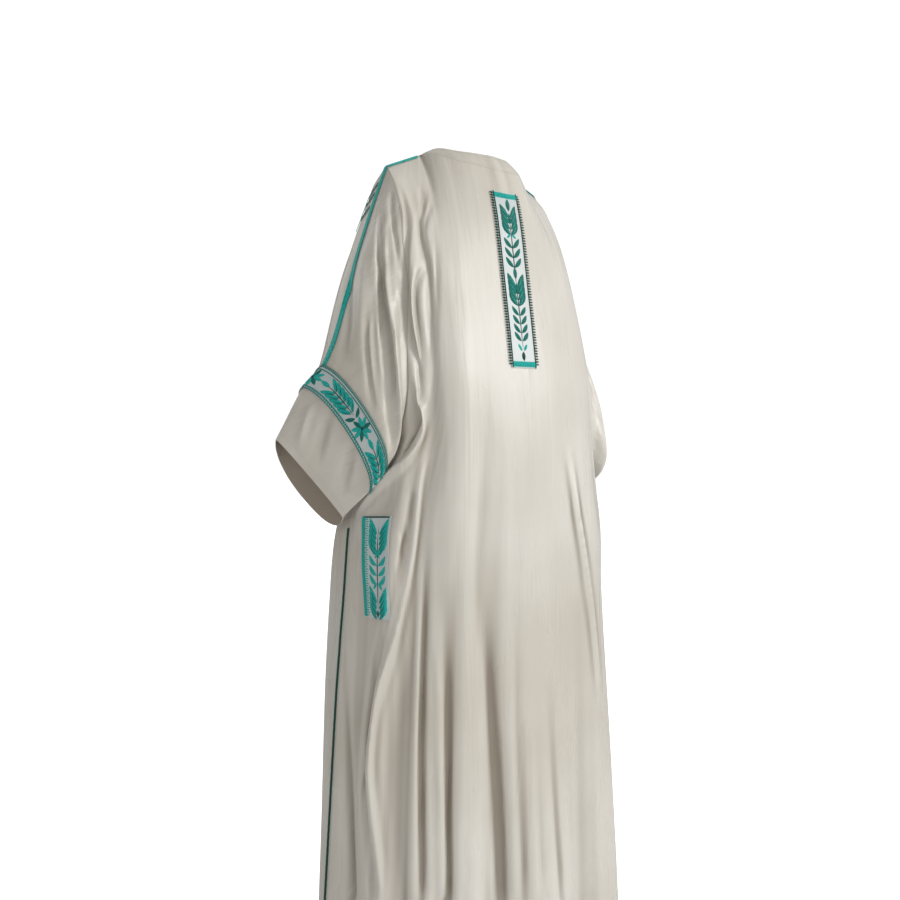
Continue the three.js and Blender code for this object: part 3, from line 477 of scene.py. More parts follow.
def makeThreadGroup():
    # Satin stitch: fine threads that lie side by side and slant away from a leaf's middle line.
    group, source, result = nodeGroup(
        "satinStitch",
        [("Map", "Vector", None), ("Threads", "Float", 1300.0), ("Slant", "Float", 0.7)],
        [("Thread", "Float"), ("Shade", "Float")],
    )
    link = group.links.new
    split = addNode(group, "SeparateXYZ")
    link(source.outputs["Map"], split.inputs[0])
    aside = product(group, mathNode(group, "ABSOLUTE", split.outputs["Y"]), source.outputs["Slant"])
    along = product(group, total(group, split.outputs["X"], aside), source.outputs["Threads"])
    link(total(group, product(group, wave(group, along), 0.5), 0.5), result.inputs["Thread"])
    shade = addNode(group, "TexNoise", {"Scale": 240.0, "Detail": 2.0})
    link(source.outputs["Map"], shade.inputs["Vector"])
    link(shade.outputs["Fac"], result.inputs["Shade"])
    return group


# painted shade for the folds, multiplied into the satin's colour: darkest in a hollow, unchanged on a ridge
paintedFoldShadeColours = ((0.06, (0.40, 0.36, 0.32)), (0.5, (0.92, 0.91, 0.90)), (0.85, (1.0, 1.0, 1.0)))
weaveGroup = makeWeaveGroup()
threadGroup = makeThreadGroup()


def startMaterial(name, roughness, sheen, shine=0.5):
    material = bpy.data.materials.new(name)
    material.use_nodes = True
    tree = material.node_tree
    shader = tree.nodes["Principled BSDF"]
    shader.inputs["Roughness"].default_value = roughness
    shader.inputs["Sheen Weight"].default_value = sheen
    shader.inputs["Sheen Roughness"].default_value = 0.4
    shader.inputs["Specular IOR Level"].default_value = shine
    return material, tree, shader


def groupNode(tree, group, mapName, values=()):
    node = tree.nodes.new("ShaderNodeGroup")
    node.node_tree = group
    for key, value in dict(values).items():
        node.inputs[key].default_value = value
    uv = addNode(tree, "UVMap", uv_map=mapName)
    tree.links.new(uv.outputs[0], node.inputs["Map"])
    return node


def clothMaterial(name, shades, roughness, sheen, creaseDepth, withPaintedFoldShade=False):
    # shades run from the darker to the lighter tone of the cloth, at random; folded cloth also gets painted
    # shade in its fold hollows
    material, tree, shader = startMaterial(name, roughness, sheen)
    link = tree.links.new
    weave = groupNode(tree, weaveGroup, "clothMap")
    coordinates = addNode(tree, "TexCoord")
    link(coordinates.outputs["Object"], weave.inputs["Place"])
    colour = rampNode(tree, weave.outputs["Tone"], list(zip((0.3, 0.7), shades)))
    if withPaintedFoldShade:
        # painted shade: the fold attribute darkens the base colour in the hollows of the folds
        tone = addNode(tree, "Attribute", attribute_name="paintedFoldShade")
        mixed = addNode(tree, "Mix", data_type="RGBA", blend_type="MULTIPLY")
        mixed.inputs["Factor"].default_value = 1.0
        link(colour, mixed.inputs["A"])
        link(rampNode(tree, tone.outputs["Fac"], paintedFoldShadeColours), mixed.inputs["B"])
        colour = mixed.outputs["Result"]
    link(colour, shader.inputs["Base Color"])
    spread = addNode(tree, "MapRange", {"To Min": roughness - 0.05, "To Max": roughness + 0.07})
    link(weave.outputs["Creases"], spread.inputs["Value"])
    link(spread.outputs[0], shader.inputs["Roughness"])
    creases = addNode(tree, "Bump", {"Strength": 0.7, "Distance": creaseDepth})
    link(weave.outputs["Creases"], creases.inputs["Height"])
    fine = addNode(tree, "Bump", {"Strength": 0.25, "Distance": 0.00012})
    link(weave.outputs["Weave"], fine.inputs["Height"])
    link(creases.outputs[0], fine.inputs["Normal"])
    link(fine.outputs[0], shader.inputs["Normal"])
    return material


def threadMaterial(name, shades, roughness, mapName="threadMap", threads=1300.0, slant=0.7):
    material, tree, shader = startMaterial(name, roughness, 0.03, 0.3)
    link = tree.links.new
    stitch = groupNode(tree, threadGroup, mapName, {"Threads": threads, "Slant": slant})
    thread = product(tree, stitch.outputs["Thread"], 0.35)
    mixed = total(tree, thread, product(tree, stitch.outputs["Shade"], 0.65))
    link(rampNode(tree, mixed, list(zip((0.28, 0.72), shades))), shader.inputs["Base Color"])
    bump = addNode(tree, "Bump", {"Strength": 0.6, "Distance": 0.00025})
    link(stitch.outputs["Thread"], bump.inputs["Height"])
    link(bump.outputs[0], shader.inputs["Normal"])
    return material


satinShades = ((0.60, 0.562, 0.487), (0.735, 0.718, 0.664))
# the satin carries painted shade in the hollows of its folds
satin = clothMaterial("champagneSatin", satinShades, 0.27, 0.2, 0.006, True)
# painted shade: the walls' inner faces are the same satin painted darker, as if in shadow
inside = clothMaterial("satinInsidePaintedShade", ((0.30, 0.245, 0.19), (0.38, 0.32, 0.26)), 0.55, 0.1, 0.001)
stripGround = clothMaterial("stripGround", ((0.49, 0.56, 0.56), (0.61, 0.66, 0.65)), 0.36, 0.2, 0.0006)
turquoise = threadMaterial("turquoiseThread", ((0.0, 0.20, 0.18), (0.01, 0.60, 0.53)), 0.3)
midTeal = threadMaterial("midTealThread", ((0.0, 0.05, 0.04), (0.0, 0.23, 0.185)), 0.32)
darkGreen = threadMaterial("darkGreenThread", ((0.0, 0.02, 0.016), (0.0, 0.075, 0.055)), 0.34)
borderTeal = threadMaterial("borderTealThread", ((0.0, 0.08, 0.07), (0.0, 0.30, 0.26)), 0.32)
braidShades = ((0.0, 0.13, 0.115), (0.01, 0.62, 0.55))
braid = threadMaterial("braidedTrim", braidShades, 0.34, "clothMap", 420.0, 0.9)
cordShades = ((0.0, 0.03, 0.022), (0.0, 0.09, 0.065))
cordGreen = threadMaterial("cordGreen", cordShades, 0.4, "threadMap", 500.0, 0.5)
seamThread = threadMaterial("seamThread", ((0.42, 0.38, 0.32), (0.62, 0.58, 0.51)), 0.4)
print("materials made")


# places on the cloth
frontDistance = 1.5


def makeTree(points, closedRound):
    corners = [Vector(point) for point in points.reshape(-1, 3)]
    return BVHTree.FromPolygons(corners, quadsOf(points, closedRound))


def seenFromCamera(seenX, seenY):
    # The ray through a place of the camera's 900 pixel wide view.
    turn = math.radians(view["turn"])
    focal = 900 * view["lens"] / 36
    right = Vector((math.cos(turn), math.sin(turn), 0))
    forward = Vector((-math.sin(turn), math.cos(turn), 0))
    aside = right * ((seenX - 450) / focal)
    return Vector(view["location"]), forward + aside + Vector((0, 0, (450 - seenY) / focal))


def seenFromFront(x, z):
    return Vector((x, -frontDistance, z)), Vector((0, 1, 0))


creaseStrength = 1.85  # what the tables' depths are multiplied by
creaseEnd = 1.5  # how much wider a crease is where it dies out


def addCreases(plainTrees, table, sight, scale):
    # Depths and widths are in millimetres. Below nought is a trough, above it a ridge.
    found = []
    for crease in table:
        line = []
        for first, second, depth, width in zip(*crease):
            origin, direction = sight(first * scale, second * scale)
            hits = [tree.ray_cast(origin, direction) for tree in plainTrees]
            hits = [hit for hit in hits if hit[0]]
            if hits:
                place, normal = min(hits, key=lambda hit: hit[3])[:2]
                spread = 1 if depth else creaseEnd
                line.append((*place, *normal, creaseStrength * depth / 1000, spread * width / 1000))
        if len(line) > 1:
            found.append(line)
    return found


# Creases as they lie in the camera's view: places across and down, depths and widths.
backCreases = [
    ((381, 380, 382, 386, 391, 394), (201, 243, 281, 322, 372, 405),
     (0, -5, -7, -7, -6, -1), (5, 6, 6, 7, 7, 6)),
    ((386, 385, 388, 391, 394), (215, 250, 285, 310, 335),
     (0, 3, 4, 4, 0), (5, 5, 5, 6, 6)),
    ((366, 362, 358), (235, 300, 365), (0, 2.5, 0), (9, 11, 9)),
    ((353, 348, 345), (260, 315, 370), (0, -3, 0), (8, 9, 8)),
    ((374, 373, 376, 380), (270, 320, 370, 410), (0, -3, -3, 0), (6, 8, 8, 7)),
    ((330, 322, 315), (410, 440, 470), (0, -2.5, 0), (7, 9, 7)),
    ((352, 347, 340), (440, 470, 500), (0, -3, 0), (6, 8, 7)),
    ((312, 304, 298), (402, 428, 452), (0, 2, 0), (6, 7, 6)),
    ((399, 407, 408, 405, 405, 407, 411, 419, 422), (186, 208, 223, 253, 276, 306, 339, 372, 400),
     (0, -4, -5, -5, -6, -6, -6, -6, -4), (4, 5, 6, 6, 6, 7, 7, 7, 7)),
    ((422, 424, 420, 423, 428, 430, 431, 430), (185, 203, 223, 243, 264, 289, 322, 372),
     (0, -4, -5, -4, -4, -4, -3, 0), (5, 5, 5, 6, 6, 7, 8, 9)),
    ((433, 426, 423), (200, 219, 236), (0, -3, 0), (4, 4, 4)),
    ((427, 419, 417, 422, 424), (262, 281, 306, 347, 392),
     (0, -4, -5, -5, 0), (4, 5, 6, 7, 6)),
    ((414, 412, 414, 419), (262, 290, 325, 360), (0, 3, 3, 0), (4, 5, 5, 5)),
    ((391, 392, 396, 399), (186, 215, 245, 275), (0, -3, -3, 0), (4, 4, 4, 4)),
    ((368, 366, 369, 374), (300, 340, 380, 415), (0, -3, -4, 0), (5, 5, 5, 5)),
    ((436, 437, 436), (235, 285, 350), (0, -2.5, 0), (5, 6, 6)),
    ((411, 413, 406), (388, 420, 446), (-3, -12, -4), (6, 8, 7)),
    ((419, 421, 409, 386, 365, 355), (402, 430, 457, 479, 504, 514),
     (0, 6, 7, 6, 4, 0), (7, 7, 7, 7, 6, 5)),
    ((428, 420, 411, 396, 378, 370, 370, 380), (452, 480, 560, 629, 693, 760, 790, 890),
     (0, 3, 4, 4.5, 4.5, 4, 4, 3), (6, 6, 6, 6, 6, 6, 7, 8)),
    ((411, 399, 384, 370, 362, 362, 372), (500, 560, 629, 693, 760, 790, 890),
     (-1, -0.6, -1.5, -5, -5, -4, -4), (7, 6, 6, 8, 8, 8, 9)),
    ((428, 424, 422, 423), (540, 640, 760, 890), (0, -3.5, -4.5, -4.5), (7, 7, 7, 8)),
    ((437, 439, 442), (600, 740, 890), (0, 3, 4), (8, 8, 9)),
    ((450, 448, 448), (660, 780, 890), (0, -2.6, -3.6), (6, 6, 7)),
    ((482, 491, 498, 503), (580, 690, 790, 890), (0, -2.5, -4, -5), (13, 14, 15, 16)),
    ((507, 510, 514), (600, 760, 890), (0, 2, 3), (9, 10, 11)),
    ((531, 533, 535), (700, 820, 890), (0, 1.5, 2), (9, 9, 10)),
    ((548, 556, 563), (660, 800, 890), (0, -1.6, -2.4), (11, 12, 13)),
    ((568, 575, 578, 585, 591, 596, 601), (449, 496, 520, 565, 609, 654, 691),
     (0, 3, 4, 4, 4, 3, 0), (6, 6, 6, 6, 6, 6, 6)),
    ((396, 408, 419), (721, 725, 731), (0, -1.3, 0), (2.5, 3, 2.5)),
    ((384, 398, 418), (763, 766, 769), (0, -1.2, 0), (2.5, 3, 2.5)),
    ((462, 470, 478), (862, 872, 882), (0, -1.2, 0), (3, 3, 3)),
    ((512, 528, 546), (416, 419, 415), (0, -0.2, 0), (5, 5, 5)),
    ((397, 404, 401, 395), (528, 540, 555, 568), (0, -2.5, -2.5, 0), (4, 4, 4, 4)),
    ((344, 347, 352), (640, 760, 890), (0, -4, -5), (8, 9, 10)),
]

# Creases of the hidden front, in millimetres across and up, seen straight from the front.
frontCreases = [
    ((120, 132, 140, 138), (-140, -260, -400, -520), (0, -5, -6, 0), (8, 9, 9, 9)),
    ((70, 84, 95, 104), (-560, -840, -1120, -1420), (0, 4, 6, 7), (10, 11, 12, 14)),
    ((150, 172, 190, 205), (-600, -880, -1150, -1420), (0, -4, -6, -6), (9, 10, 12, 13)),
    ((222, 236, 248), (-760, -1100, -1420), (0, 4, 5), (9, 10, 12)),
    ((60, 78, 92), (-190, -230, -300), (0, -2, 0), (5, 6, 5)),
    ((-112, -126, -138, -150), (-160, -280, -420, -560), (0, -5, -6, 0), (8, 9, 9, 9)),
    ((-66, -76, -90, -98), (-520, -800, -1140, -1420), (0, 4, 6, 8), (10, 11, 12, 14)),
    ((-140, -160, -184), (-640, -1000, -1420), (0, -5, -6), (9, 11, 12)),
    ((-214, -226, -240), (-700, -1080, -1420), (0, 4, 6), (9, 10, 12)),
    ((-58, -72, -96), (-200, -250, -290), (0, -2, 0), (5, 6, 5)),
    ((206, 222, 240), (-150, -300, -430), (0, -4, 0), (8, 10, 8)),
    ((236, 262, 284), (-200, -330, -440), (0, 3, 0), (8, 9, 8)),
    ((-170, -196, -214), (-160, -300, -430), (0, -4, 0), (8, 10, 8)),
    ((-200, -226, -246), (-220, -350, -460), (0, 3, 0), (8, 9, 8)),
]


# cloth pieces
# divisions of the fine sheets, and the cut that each was made from, in metres
clothSizes = {
    "back": {"across": 236, "down": 200, "flat": (0.86, 1.47), "area": 0.929},
    "front_left": {"across": 112, "down": 190, "flat": (0.42, 1.47), "area": 0.475},
    "front_right": {"across": 112, "down": 190, "flat": (0.43, 1.45), "area": 0.467},
    "neckband": {"across": 230, "down": 10, "flat": (0.77, 0.04), "area": 0.022},
    "sleeve_left": {"across": 270, "down": 140, "flat": (0.85, 0.55), "area": 0.174},
    "sleeve_right": {"across": 270, "down": 140, "flat": (0.86, 0.59), "area": 0.172},
}
wallThickness = 0.0014
bandRows = {"first": 11, "last": 13}  # rows of a sleeve's grid that its band covers
armhole = {"gap": 0.0002, "reach": 0.07, "smoothed": 4, "seamRadius": 0.0008}
# settings of the painted fold shade: columns compared aside, depth of the full ramp, level of flat cloth,
# rows it is softened over
paintedFoldShadeSettings = {"reach": 3, "depth": 0.0075, "level": -0.0004, "rows": 4}
sheets = {}
trees = {}
clothEdges = {}
armholeRims = {}


def densePath(path):
    places = np.linspace(0, len(path) - 1, 8 * len(path))
    return np.stack([np.interp(places, np.arange(len(path)), column) for column in path.T], axis=1)


def finishPiece(piece, replaced=None):
    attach(piece, "root")
    if replaced:
        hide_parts(replaced)


def fineSheet(sheet, size):
    rows, columns = sheet["grid"].shape[:2]
    across = np.linspace(0, columns if sheet["closedRound"] else columns - 1, size["across"] + 1)
    down = np.linspace(0, rows - 1, size["down"] + 1)
    return clothAt(sheet, across[:-1] if sheet["closedRound"] else across, down)[0]


def closeArmhole(points, side):
    # The sleeve's first row meets the edges of the back and the front, and the cloth below follows softly.
    rim = np.concatenate([clothEdges["back"][side], clothEdges["front_" + side][side]])
    nearest = np.array([rim[np.linalg.norm(rim - point, axis=1).argmin()] for point in points[0]])
    nearest[:, 0] += armhole["gap"] * (1 if side == "left" else -1)
    moved = nearest - points[0]
    steps = range(-armhole["smoothed"], armhole["smoothed"] + 1)
    moved = sum(np.roll(moved, step, axis=0) for step in steps) / len(steps)
    fade = np.clip(1 - arcs(points, 0) / armhole["reach"], 0, 1)
    return points + moved[None] * (fade * fade * (3 - 2 * fade))[..., None]


def paintedFoldShade(points, closedRound):
    # Painted shade for the folds: one on a ridge and nought in a hollow, from how far each point stands out
    # from those beside it.
    reach = paintedFoldShadeSettings["reach"]
    padded = np.pad(points, ((0, 0), (reach, reach), (0, 0)), mode="wrap" if closedRound else "edge")
    beside = (padded[:, :-2 * reach] + padded[:, 2 * reach:]) / 2
    hollow = np.sum((beside - points) * gridNormals(points), axis=2)
    if not closedRound:
        hollow[:, :reach] = hollow[:, -reach:] = 0
    softened = np.pad(hollow, ((paintedFoldShadeSettings["rows"], paintedFoldShadeSettings["rows"]), (0, 0)), mode="edge")
    count = 2 * paintedFoldShadeSettings["rows"] + 1
    softened = sum(softened[k:k + len(hollow)] for k in range(count)) / count
    return np.clip(0.5 + (paintedFoldShadeSettings["level"] - softened) / paintedFoldShadeSettings["depth"], 0, 1)


def makeCloth(name, size):
    closedRound = sheets[name]["closedRound"]
    points = fineSheet(sheets[name], size)
    if closedRound:
        points = closeArmhole(points, name.split("_")[1])
        armholeRims[name] = points[0]
    else:
        leftFirst = points[-1, 0, 0] > points[-1, -1, 0]
        ends = (points[:, 0], points[:, -1]) if leftFirst else (points[:, -1], points[:, 0])
        clothEdges[name] = {"left": densePath(ends[0]), "right": densePath(ends[1])}
    trees[name] = makeTree(points, closedRound)
    piece = sheetMesh("cloth_" + name, points, closedRound)
    # painted shade: each point's fold value, which darkens the satin in the fold hollows
    tone = piece.data.attributes.new("paintedFoldShade", "FLOAT", "POINT")
    tone.data.foreach_set("value", paintedFoldShade(points, closedRound).reshape(-1))
    piece.data.materials.append(satin)
    # the inner faces get the darker satin with painted shade
    piece.data.materials.append(inside)
    thicken(piece, wallThickness, 1)
    smoothShade(piece)
    finishPiece(piece, name)


for name in clothSizes:
    sheets[name] = readSheet(name, name.startswith("sleeve"))
plainTrees = [
    makeTree(fineSheet(sheets[name], size), sheets[name]["closedRound"])
    for name, size in clothSizes.items()
]
seenCreases = addCreases(plainTrees, backCreases, seenFromCamera, 1)
hiddenCreases = addCreases(plainTrees, frontCreases, seenFromFront, 0.001)
creases += seenCreases + hiddenCreases
for name, size in clothSizes.items():
    makeCloth(name, size)
print("cloth made with", len(creases), "creases")


# strips sewn on the cloth
stripThickness = 0.001
stripClearance = 0.0012


def layOn(points, names, height):
    # Moves points to a height above the nearest of the named cloths.
    laid = np.zeros_like(points)
    for index in np.ndindex(points.shape[:2]):
        found = [trees[name].find_nearest(Vector(points[index])) for name in names]
        place, normal = min(found, key=lambda hit: hit[3])[:2]
        laid[index] = place + normal * height
    return laid


def makeStrip(name, points, material, closedRound=False):
    piece = sheetMesh("strip_" + name, points, closedRound)
    piece.data.materials.append(material)
    thicken(piece, stripThickness)
    smoothShade(piece)
    finishPiece(piece, name)
    return piece


def smoothGrid(grid, acrossCount, downCount):
    rows, columns = grid.shape[:2]
    down = splineWeights(rows, np.linspace(0, rows - 1, downCount + 1), False)
    across = splineWeights(columns, np.linspace(0, columns - 1, acrossCount + 1), False)
    return np.einsum("rm,mnk,cn->rck", down, grid, across)


def stripFrom(name, names, acrossCount, downCount):
    grid = smoothGrid(readSheet(name)["grid"], acrossCount, downCount)
    return layOn(grid, names, stripClearance + stripThickness)


def stripSurface(points, nominalWidth, closed=False):
    # Rows run along the strip, columns across it, and a closed strip ends on its first row.
    middle = points[:, points.shape[1] // 2]
    return {"points": points, "normals": gridNormals(points), "marks": lengthsAlong(middle),
            "width": nominalWidth, "closed": closed}


def onStrip(strip, along, aside, height):
    rows, columns = strip["points"].shape[:2]
    length = strip["marks"][-1]
    along = along % length if strip["closed"] else np.clip(along, 0, length)
    row = np.clip(np.interp(along, strip["marks"], np.arange(rows)), 0, rows - 1.001)
    column = (aside / strip["width"] + 0.5) * (columns - 1)
    j, i = row.astype(int), np.clip(column, 0, columns - 1.001).astype(int)
    s, t = (row - j)[:, None], (column - i)[:, None]

    def blend(table):
        upper = table[j, i] * (1 - t) + table[j, i + 1] * t
        lower = table[j + 1, i] * (1 - t) + table[j + 1, i + 1] * t
        return upper * (1 - s) + lower * s

    return blend(strip["points"]) + unit(blend(strip["normals"])) * height[:, None]


# stitches and leaves, modelled once each
templates = {
    "leaf": {"segments": 10, "rings": 6, "point": 0.35, "groove": 0.35},
    "grain": {"segments": 6, "rings": 4, "point": 0.0, "groove": 0.0},
    "petal": {"segments": 10, "rings": 6, "point": 0.12, "groove": 0.3},
}


def makeTemplate(shape):
    clearSelection()
    bpy.ops.mesh.primitive_uv_sphere_add(
        segments=shape["segments"], ring_count=shape["rings"], radius=1, rotation=(0, math.pi / 2, 0))
    form = bpy.context.active_object
    bpy.ops.object.transform_apply(rotation=True)
    points = np.array([vert.co for vert in form.data.vertices])
    points[:, 1] *= np.maximum(1 - points[:, 0] ** 2, 1e-6) ** shape["point"]
    groove = 1 - shape["groove"] * np.exp(-((points[:, 1] / 0.22) ** 2)) * (1 - points[:, 0] ** 2)
    points[:, 2] = np.where(points[:, 2] > 0, points[:, 2] * groove, points[:, 2] * 0.2)
    faces = [tuple(face.vertices) for face in form.data.polygons]
    bpy.data.objects.remove(form)
    return points, faces


forms = {name: makeTemplate(shape) for name, shape in templates.items()}


def joinedMesh(name, chunks, faces, maps, material):
    count = len(chunks[0])
    mesh = bpy.data.meshes.new(name)
    copies = range(len(chunks))
    allFaces = [tuple(corner + count * copy for corner in face) for copy in copies for face in faces]
    mesh.from_pydata(np.concatenate(chunks).tolist(), [], allFaces)
    uvs = np.concatenate(maps)[[corner for face in allFaces for corner in face]]
    mesh.uv_layers.new(name="threadMap").data.foreach_set("uv", uvs.reshape(-1))
    mesh.materials.append(material)
    mesh.update()
    piece = linkObject(name, mesh)
    smoothShade(piece, 60)
    finishPiece(piece)
    return piece


def embroider(name, strip, formName, motifs, material):
    # motifs: along, aside, angle in degrees, length, width, height, bow
    points, faces = forms[formName]
    chunks, maps = [], []
    for along, aside, angle, length, width, height, bow in motifs:
        x = points[:, 0] * length / 2
        y = points[:, 1] * width / 2 + bow * length * (1 - points[:, 0] ** 2)
        turn = math.radians(angle)
        chunks.append(onStrip(
            strip,
            along + x * math.cos(turn) - y * math.sin(turn),
            aside + x * math.sin(turn) + y * math.cos(turn),
            points[:, 2] * height,
        ))
        maps.append(np.stack([points[:, 0] * length / 2, points[:, 1] * width / 2], axis=1))
    return joinedMesh(name, chunks, faces, maps, material)


def cordAlong(name, path, radius, material, closed=False, replaced=None):
    curve = bpy.data.curves.new(name, "CURVE")
    curve.dimensions = "3D"
    curve.bevel_depth = radius
    curve.bevel_resolution = 2
    curve.use_fill_caps = True
    line = curve.splines.new("POLY")
    line.points.add(len(path) - 1)
    line.points.foreach_set("co", np.column_stack([path, np.ones(len(path))]).reshape(-1))
    line.use_cyclic_u = closed
    selectOnly(linkObject(name, curve))
    bpy.ops.object.convert(target="MESH")
    piece = bpy.context.active_object
    lengths = lengthsAlong(path)
    mesh = piece.data
    uvMap = mesh.uv_layers.new(name="threadMap")
    points = np.array([vert.co for vert in mesh.vertices])
    nearest = np.array([np.linalg.norm(path - point, axis=1).argmin() for point in points])
    offset = (points - path[nearest])[:, 2]
    corners = np.array([loop.vertex_index for loop in mesh.loops])
    uvMap.data.foreach_set("uv", np.stack([lengths[nearest], offset], axis=1)[corners].reshape(-1))
    mesh.materials.append(material)
    smoothShade(piece, 60)
    finishPiece(piece, replaced)
    return piece


def edgeCord(name, strip, aside, radius, material, steps=260):
    length = strip["marks"][-1]
    along = np.linspace(0, length, steps + 1)
    if strip["closed"]:
        along = along[:-1]
    path = onStrip(strip, along, np.full(len(along), aside), np.full(len(along), radius * 0.5))
    return cordAlong(name, path, radius, material, strip["closed"])


# the pale embroidered strips
def pairs(along, spread, angle, length, width, height, bow=0.06):
    # A pair of leaves that point up the strip and away from its middle.
    return [
        (along, spread, 180 - angle, length, width, height, -bow),
        (along, -spread, 180 + angle, length, width, height, bow),
    ]


def pairRows(table, shift=0.0):
    # Rows are places along the strip, then a pair's spread, angle, length, width, height and bow.
    return [
        motif
        for places, *values in table
        for place in places
        for motif in pairs(place + shift, *values)
    ]


def placesAlong(length, ends, pitch):
    # Even places that keep clear of both ends.
    return np.arange(ends[0], length - ends[1], pitch)


backStrip = {
    "cut": (0.055, 0.328), "divisions": (16, 90),
    "bar": (0.012, 0.0034, 0.0011, 0), "barPitch": 0.0024, "barRange": (-0.0258, 0.0259), "barInset": 0.0004,
    "cordAside": 0.0252, "cordRadius": 0.0010, "cordSteps": 120,
    "tooth": (0.0100, 0.0030, 0.0006, 0), "toothAside": 0.0287, "toothPitch": 0.0050,
    "toothEnds": (0.004, 0.002),
    "leafPairs": (
        ((0.036, 0.047, 0.058, 0.069), 0.0090, 33, 0.029, 0.0105, 0.0014),
        ((0.096, 0.114, 0.132), 0.0086, 40, 0.025, 0.0088, 0.0013),
        ((0.166, 0.177, 0.188, 0.199), 0.0092, 30, 0.032, 0.0115, 0.0014),
        ((0.222, 0.238, 0.254, 0.269), 0.0080, 38, 0.022, 0.0082, 0.0013),
    ),
    "veinPairs": (
        ((0.038, 0.049, 0.060, 0.071), 0.0078, 33, 0.021, 0.0022, 0.0017),
        ((0.168, 0.179, 0.190, 0.201), 0.0080, 30, 0.023, 0.0024, 0.0017),
        ((0.289,), 0.0060, 30, 0.015, 0.0055, 0.0012, 0),
        ((0.083,), 0.0055, -48, 0.012, 0.0048, 0.0012, 0),
    ),
    "buds": (
        (0.024, 0, 180, 0.024, 0.0095, 0.0014, 0), (0.152, 0, 180, 0.022, 0.0085, 0.0013, 0),
        (0.050, 0, 180, 0.020, 0.0070, 0.0013, 0), (0.180, 0, 180, 0.020, 0.0070, 0.0013, 0),
    ),
    "stems": ((0.110, 0, 0, 0.150, 0.0020, 0.0010, 0), (0.225, 0, 0, 0.140, 0.0020, 0.0010, 0)),
    "lastBud": {"fromEnd": 0.021, "size": (0.017, 0.0080, 0.0013, 0)},
}


def makeBackStrip():
    size = backStrip
    points = stripFrom("back_strip", ["back"], *size["divisions"])
    piece = makeStrip("back_strip", points, stripGround)
    strip = stripSurface(points, size["cut"][0])
    length = strip["marks"][-1]
    end = size["bar"][0] / 2 + size["barInset"]
    bars = [
        (place, aside, 0, *size["bar"])
        for place in (end, length - end)
        for aside in np.arange(*size["barRange"], size["barPitch"])
    ]
    teeth = [
        (along, side * size["toothAside"], 90, *size["tooth"])
        for along in placesAlong(length, size["toothEnds"], size["toothPitch"])
        for side in (1, -1)
    ]
    leaves = pairRows(size["leafPairs"]) + list(size["buds"])
    lastBud = (length - size["lastBud"]["fromEnd"], 0, 180, *size["lastBud"]["size"])
    parts = [
        embroider("back_strip_bars", strip, "grain", bars, turquoise),
        embroider("back_strip_teeth", strip, "grain", teeth, darkGreen),
        embroider("back_strip_leaves", strip, "leaf", leaves, midTeal),
        embroider("back_strip_veins", strip, "leaf", pairRows(size["veinPairs"]), turquoise),
        embroider("back_strip_stem", strip, "leaf", [*size["stems"], lastBud], darkGreen),
    ]
    for label, side in (("left", 1), ("right", -1)):
        name, aside = "back_strip_cord_" + label, side * size["cordAside"]
        parts.append(edgeCord(name, strip, aside, size["cordRadius"], darkGreen, size["cordSteps"]))


chevronPlaces = (0.018, 0.027, 0.036, 0.045, 0.054, 0.136, 0.146, 0.156, 0.166)
sidePanel = {
    "cut": (0.067, 0.178), "width": 0.066, "divisions": (18, 50), "leafAside": -0.007,
    "border": (0.010, 0.0032, 0.0011, 0), "borderAside": 0.0272, "borderPitch": 0.0024,
    "borderEnds": (0.003, 0.002),
    "tooth": (0.008, 0.0022, 0.0009, 0), "toothAside": 0.0205, "toothStagger": 0.0015, "toothPitch": 0.0042,
    "toothEnds": (0.006, 0.004),
    "top": (0.0035, 0.003, 0.0009, 0), "topAlong": 0.0022, "topPitch": 0.0023, "topRange": (-0.028, 0.029),
    "leafPairs": (
        (chevronPlaces, 0.0118, 34, 0.034, 0.0098, 0.0015),
        ((0.078, 0.095, 0.111), 0.0100, 44, 0.025, 0.0092, 0.0013, 0.14),
        ((0.122,), 0.0065, -35, 0.015, 0.006, 0.0012, 0),
    ),
    "veinShift": 0.0045,
    "veinPairs": ((chevronPlaces, 0.0105, 34, 0.027, 0.0022, 0.0022),),
    "rosette": {"along": 0.066, "reach": (0.004, 0.005), "petal": (0.012, 0.0042, 0.0011, 0),
                "turns": range(30, 360, 60)},
    "stems": ((0.090, 0, 0, 0.150, 0.0022, 0.0009, 0), (0.170, 0, 0, 0.014, 0.005, 0.0011, 0)),
}


def makeSidePanel():
    size = sidePanel
    points = stripFrom("side_panel_left", ["back"], *size["divisions"])
    piece = makeStrip("side_panel_left", points, stripGround)
    strip = stripSurface(points, size["width"])
    length = strip["marks"][-1]
    border = [
        (along, size["borderAside"], 90, *size["border"])
        for along in placesAlong(length, size["borderEnds"], size["borderPitch"])
    ]
    teeth = [
        (along, size["toothAside"] - size["toothStagger"] * (index % 2), 90, *size["tooth"])
        for index, along in enumerate(placesAlong(length, size["toothEnds"], size["toothPitch"]))
    ]
    topPlaces = np.arange(*size["topRange"], size["topPitch"])
    top = [(size["topAlong"], aside, 0, *size["top"]) for aside in topPlaces]
    rosette = size["rosette"]
    petals = [
        (rosette["along"] + rosette["reach"][0] * math.cos(math.radians(turn)),
         rosette["reach"][1] * math.sin(math.radians(turn)), turn, *rosette["petal"])
        for turn in rosette["turns"]
    ]
    veins = pairRows(size["veinPairs"], size["veinShift"])
    leaves, veins, stems = [
        [(along, aside + size["leafAside"], *rest) for along, aside, *rest in motifs]
        for motifs in (pairRows(size["leafPairs"]) + petals, veins, size["stems"])
    ]
    parts = [
        embroider("side_panel_border", strip, "grain", border, turquoise),
        embroider("side_panel_teeth", strip, "grain", teeth, turquoise),
        embroider("side_panel_top", strip, "grain", top, darkGreen),
        embroider("side_panel_leaves", strip, "leaf", leaves, turquoise),
        embroider("side_panel_veins", strip, "leaf", veins, midTeal),
        embroider("side_panel_stem", strip, "leaf", stems, darkGreen),
    ]


makeBackStrip()
makeSidePanel()
print("strips on the back made")


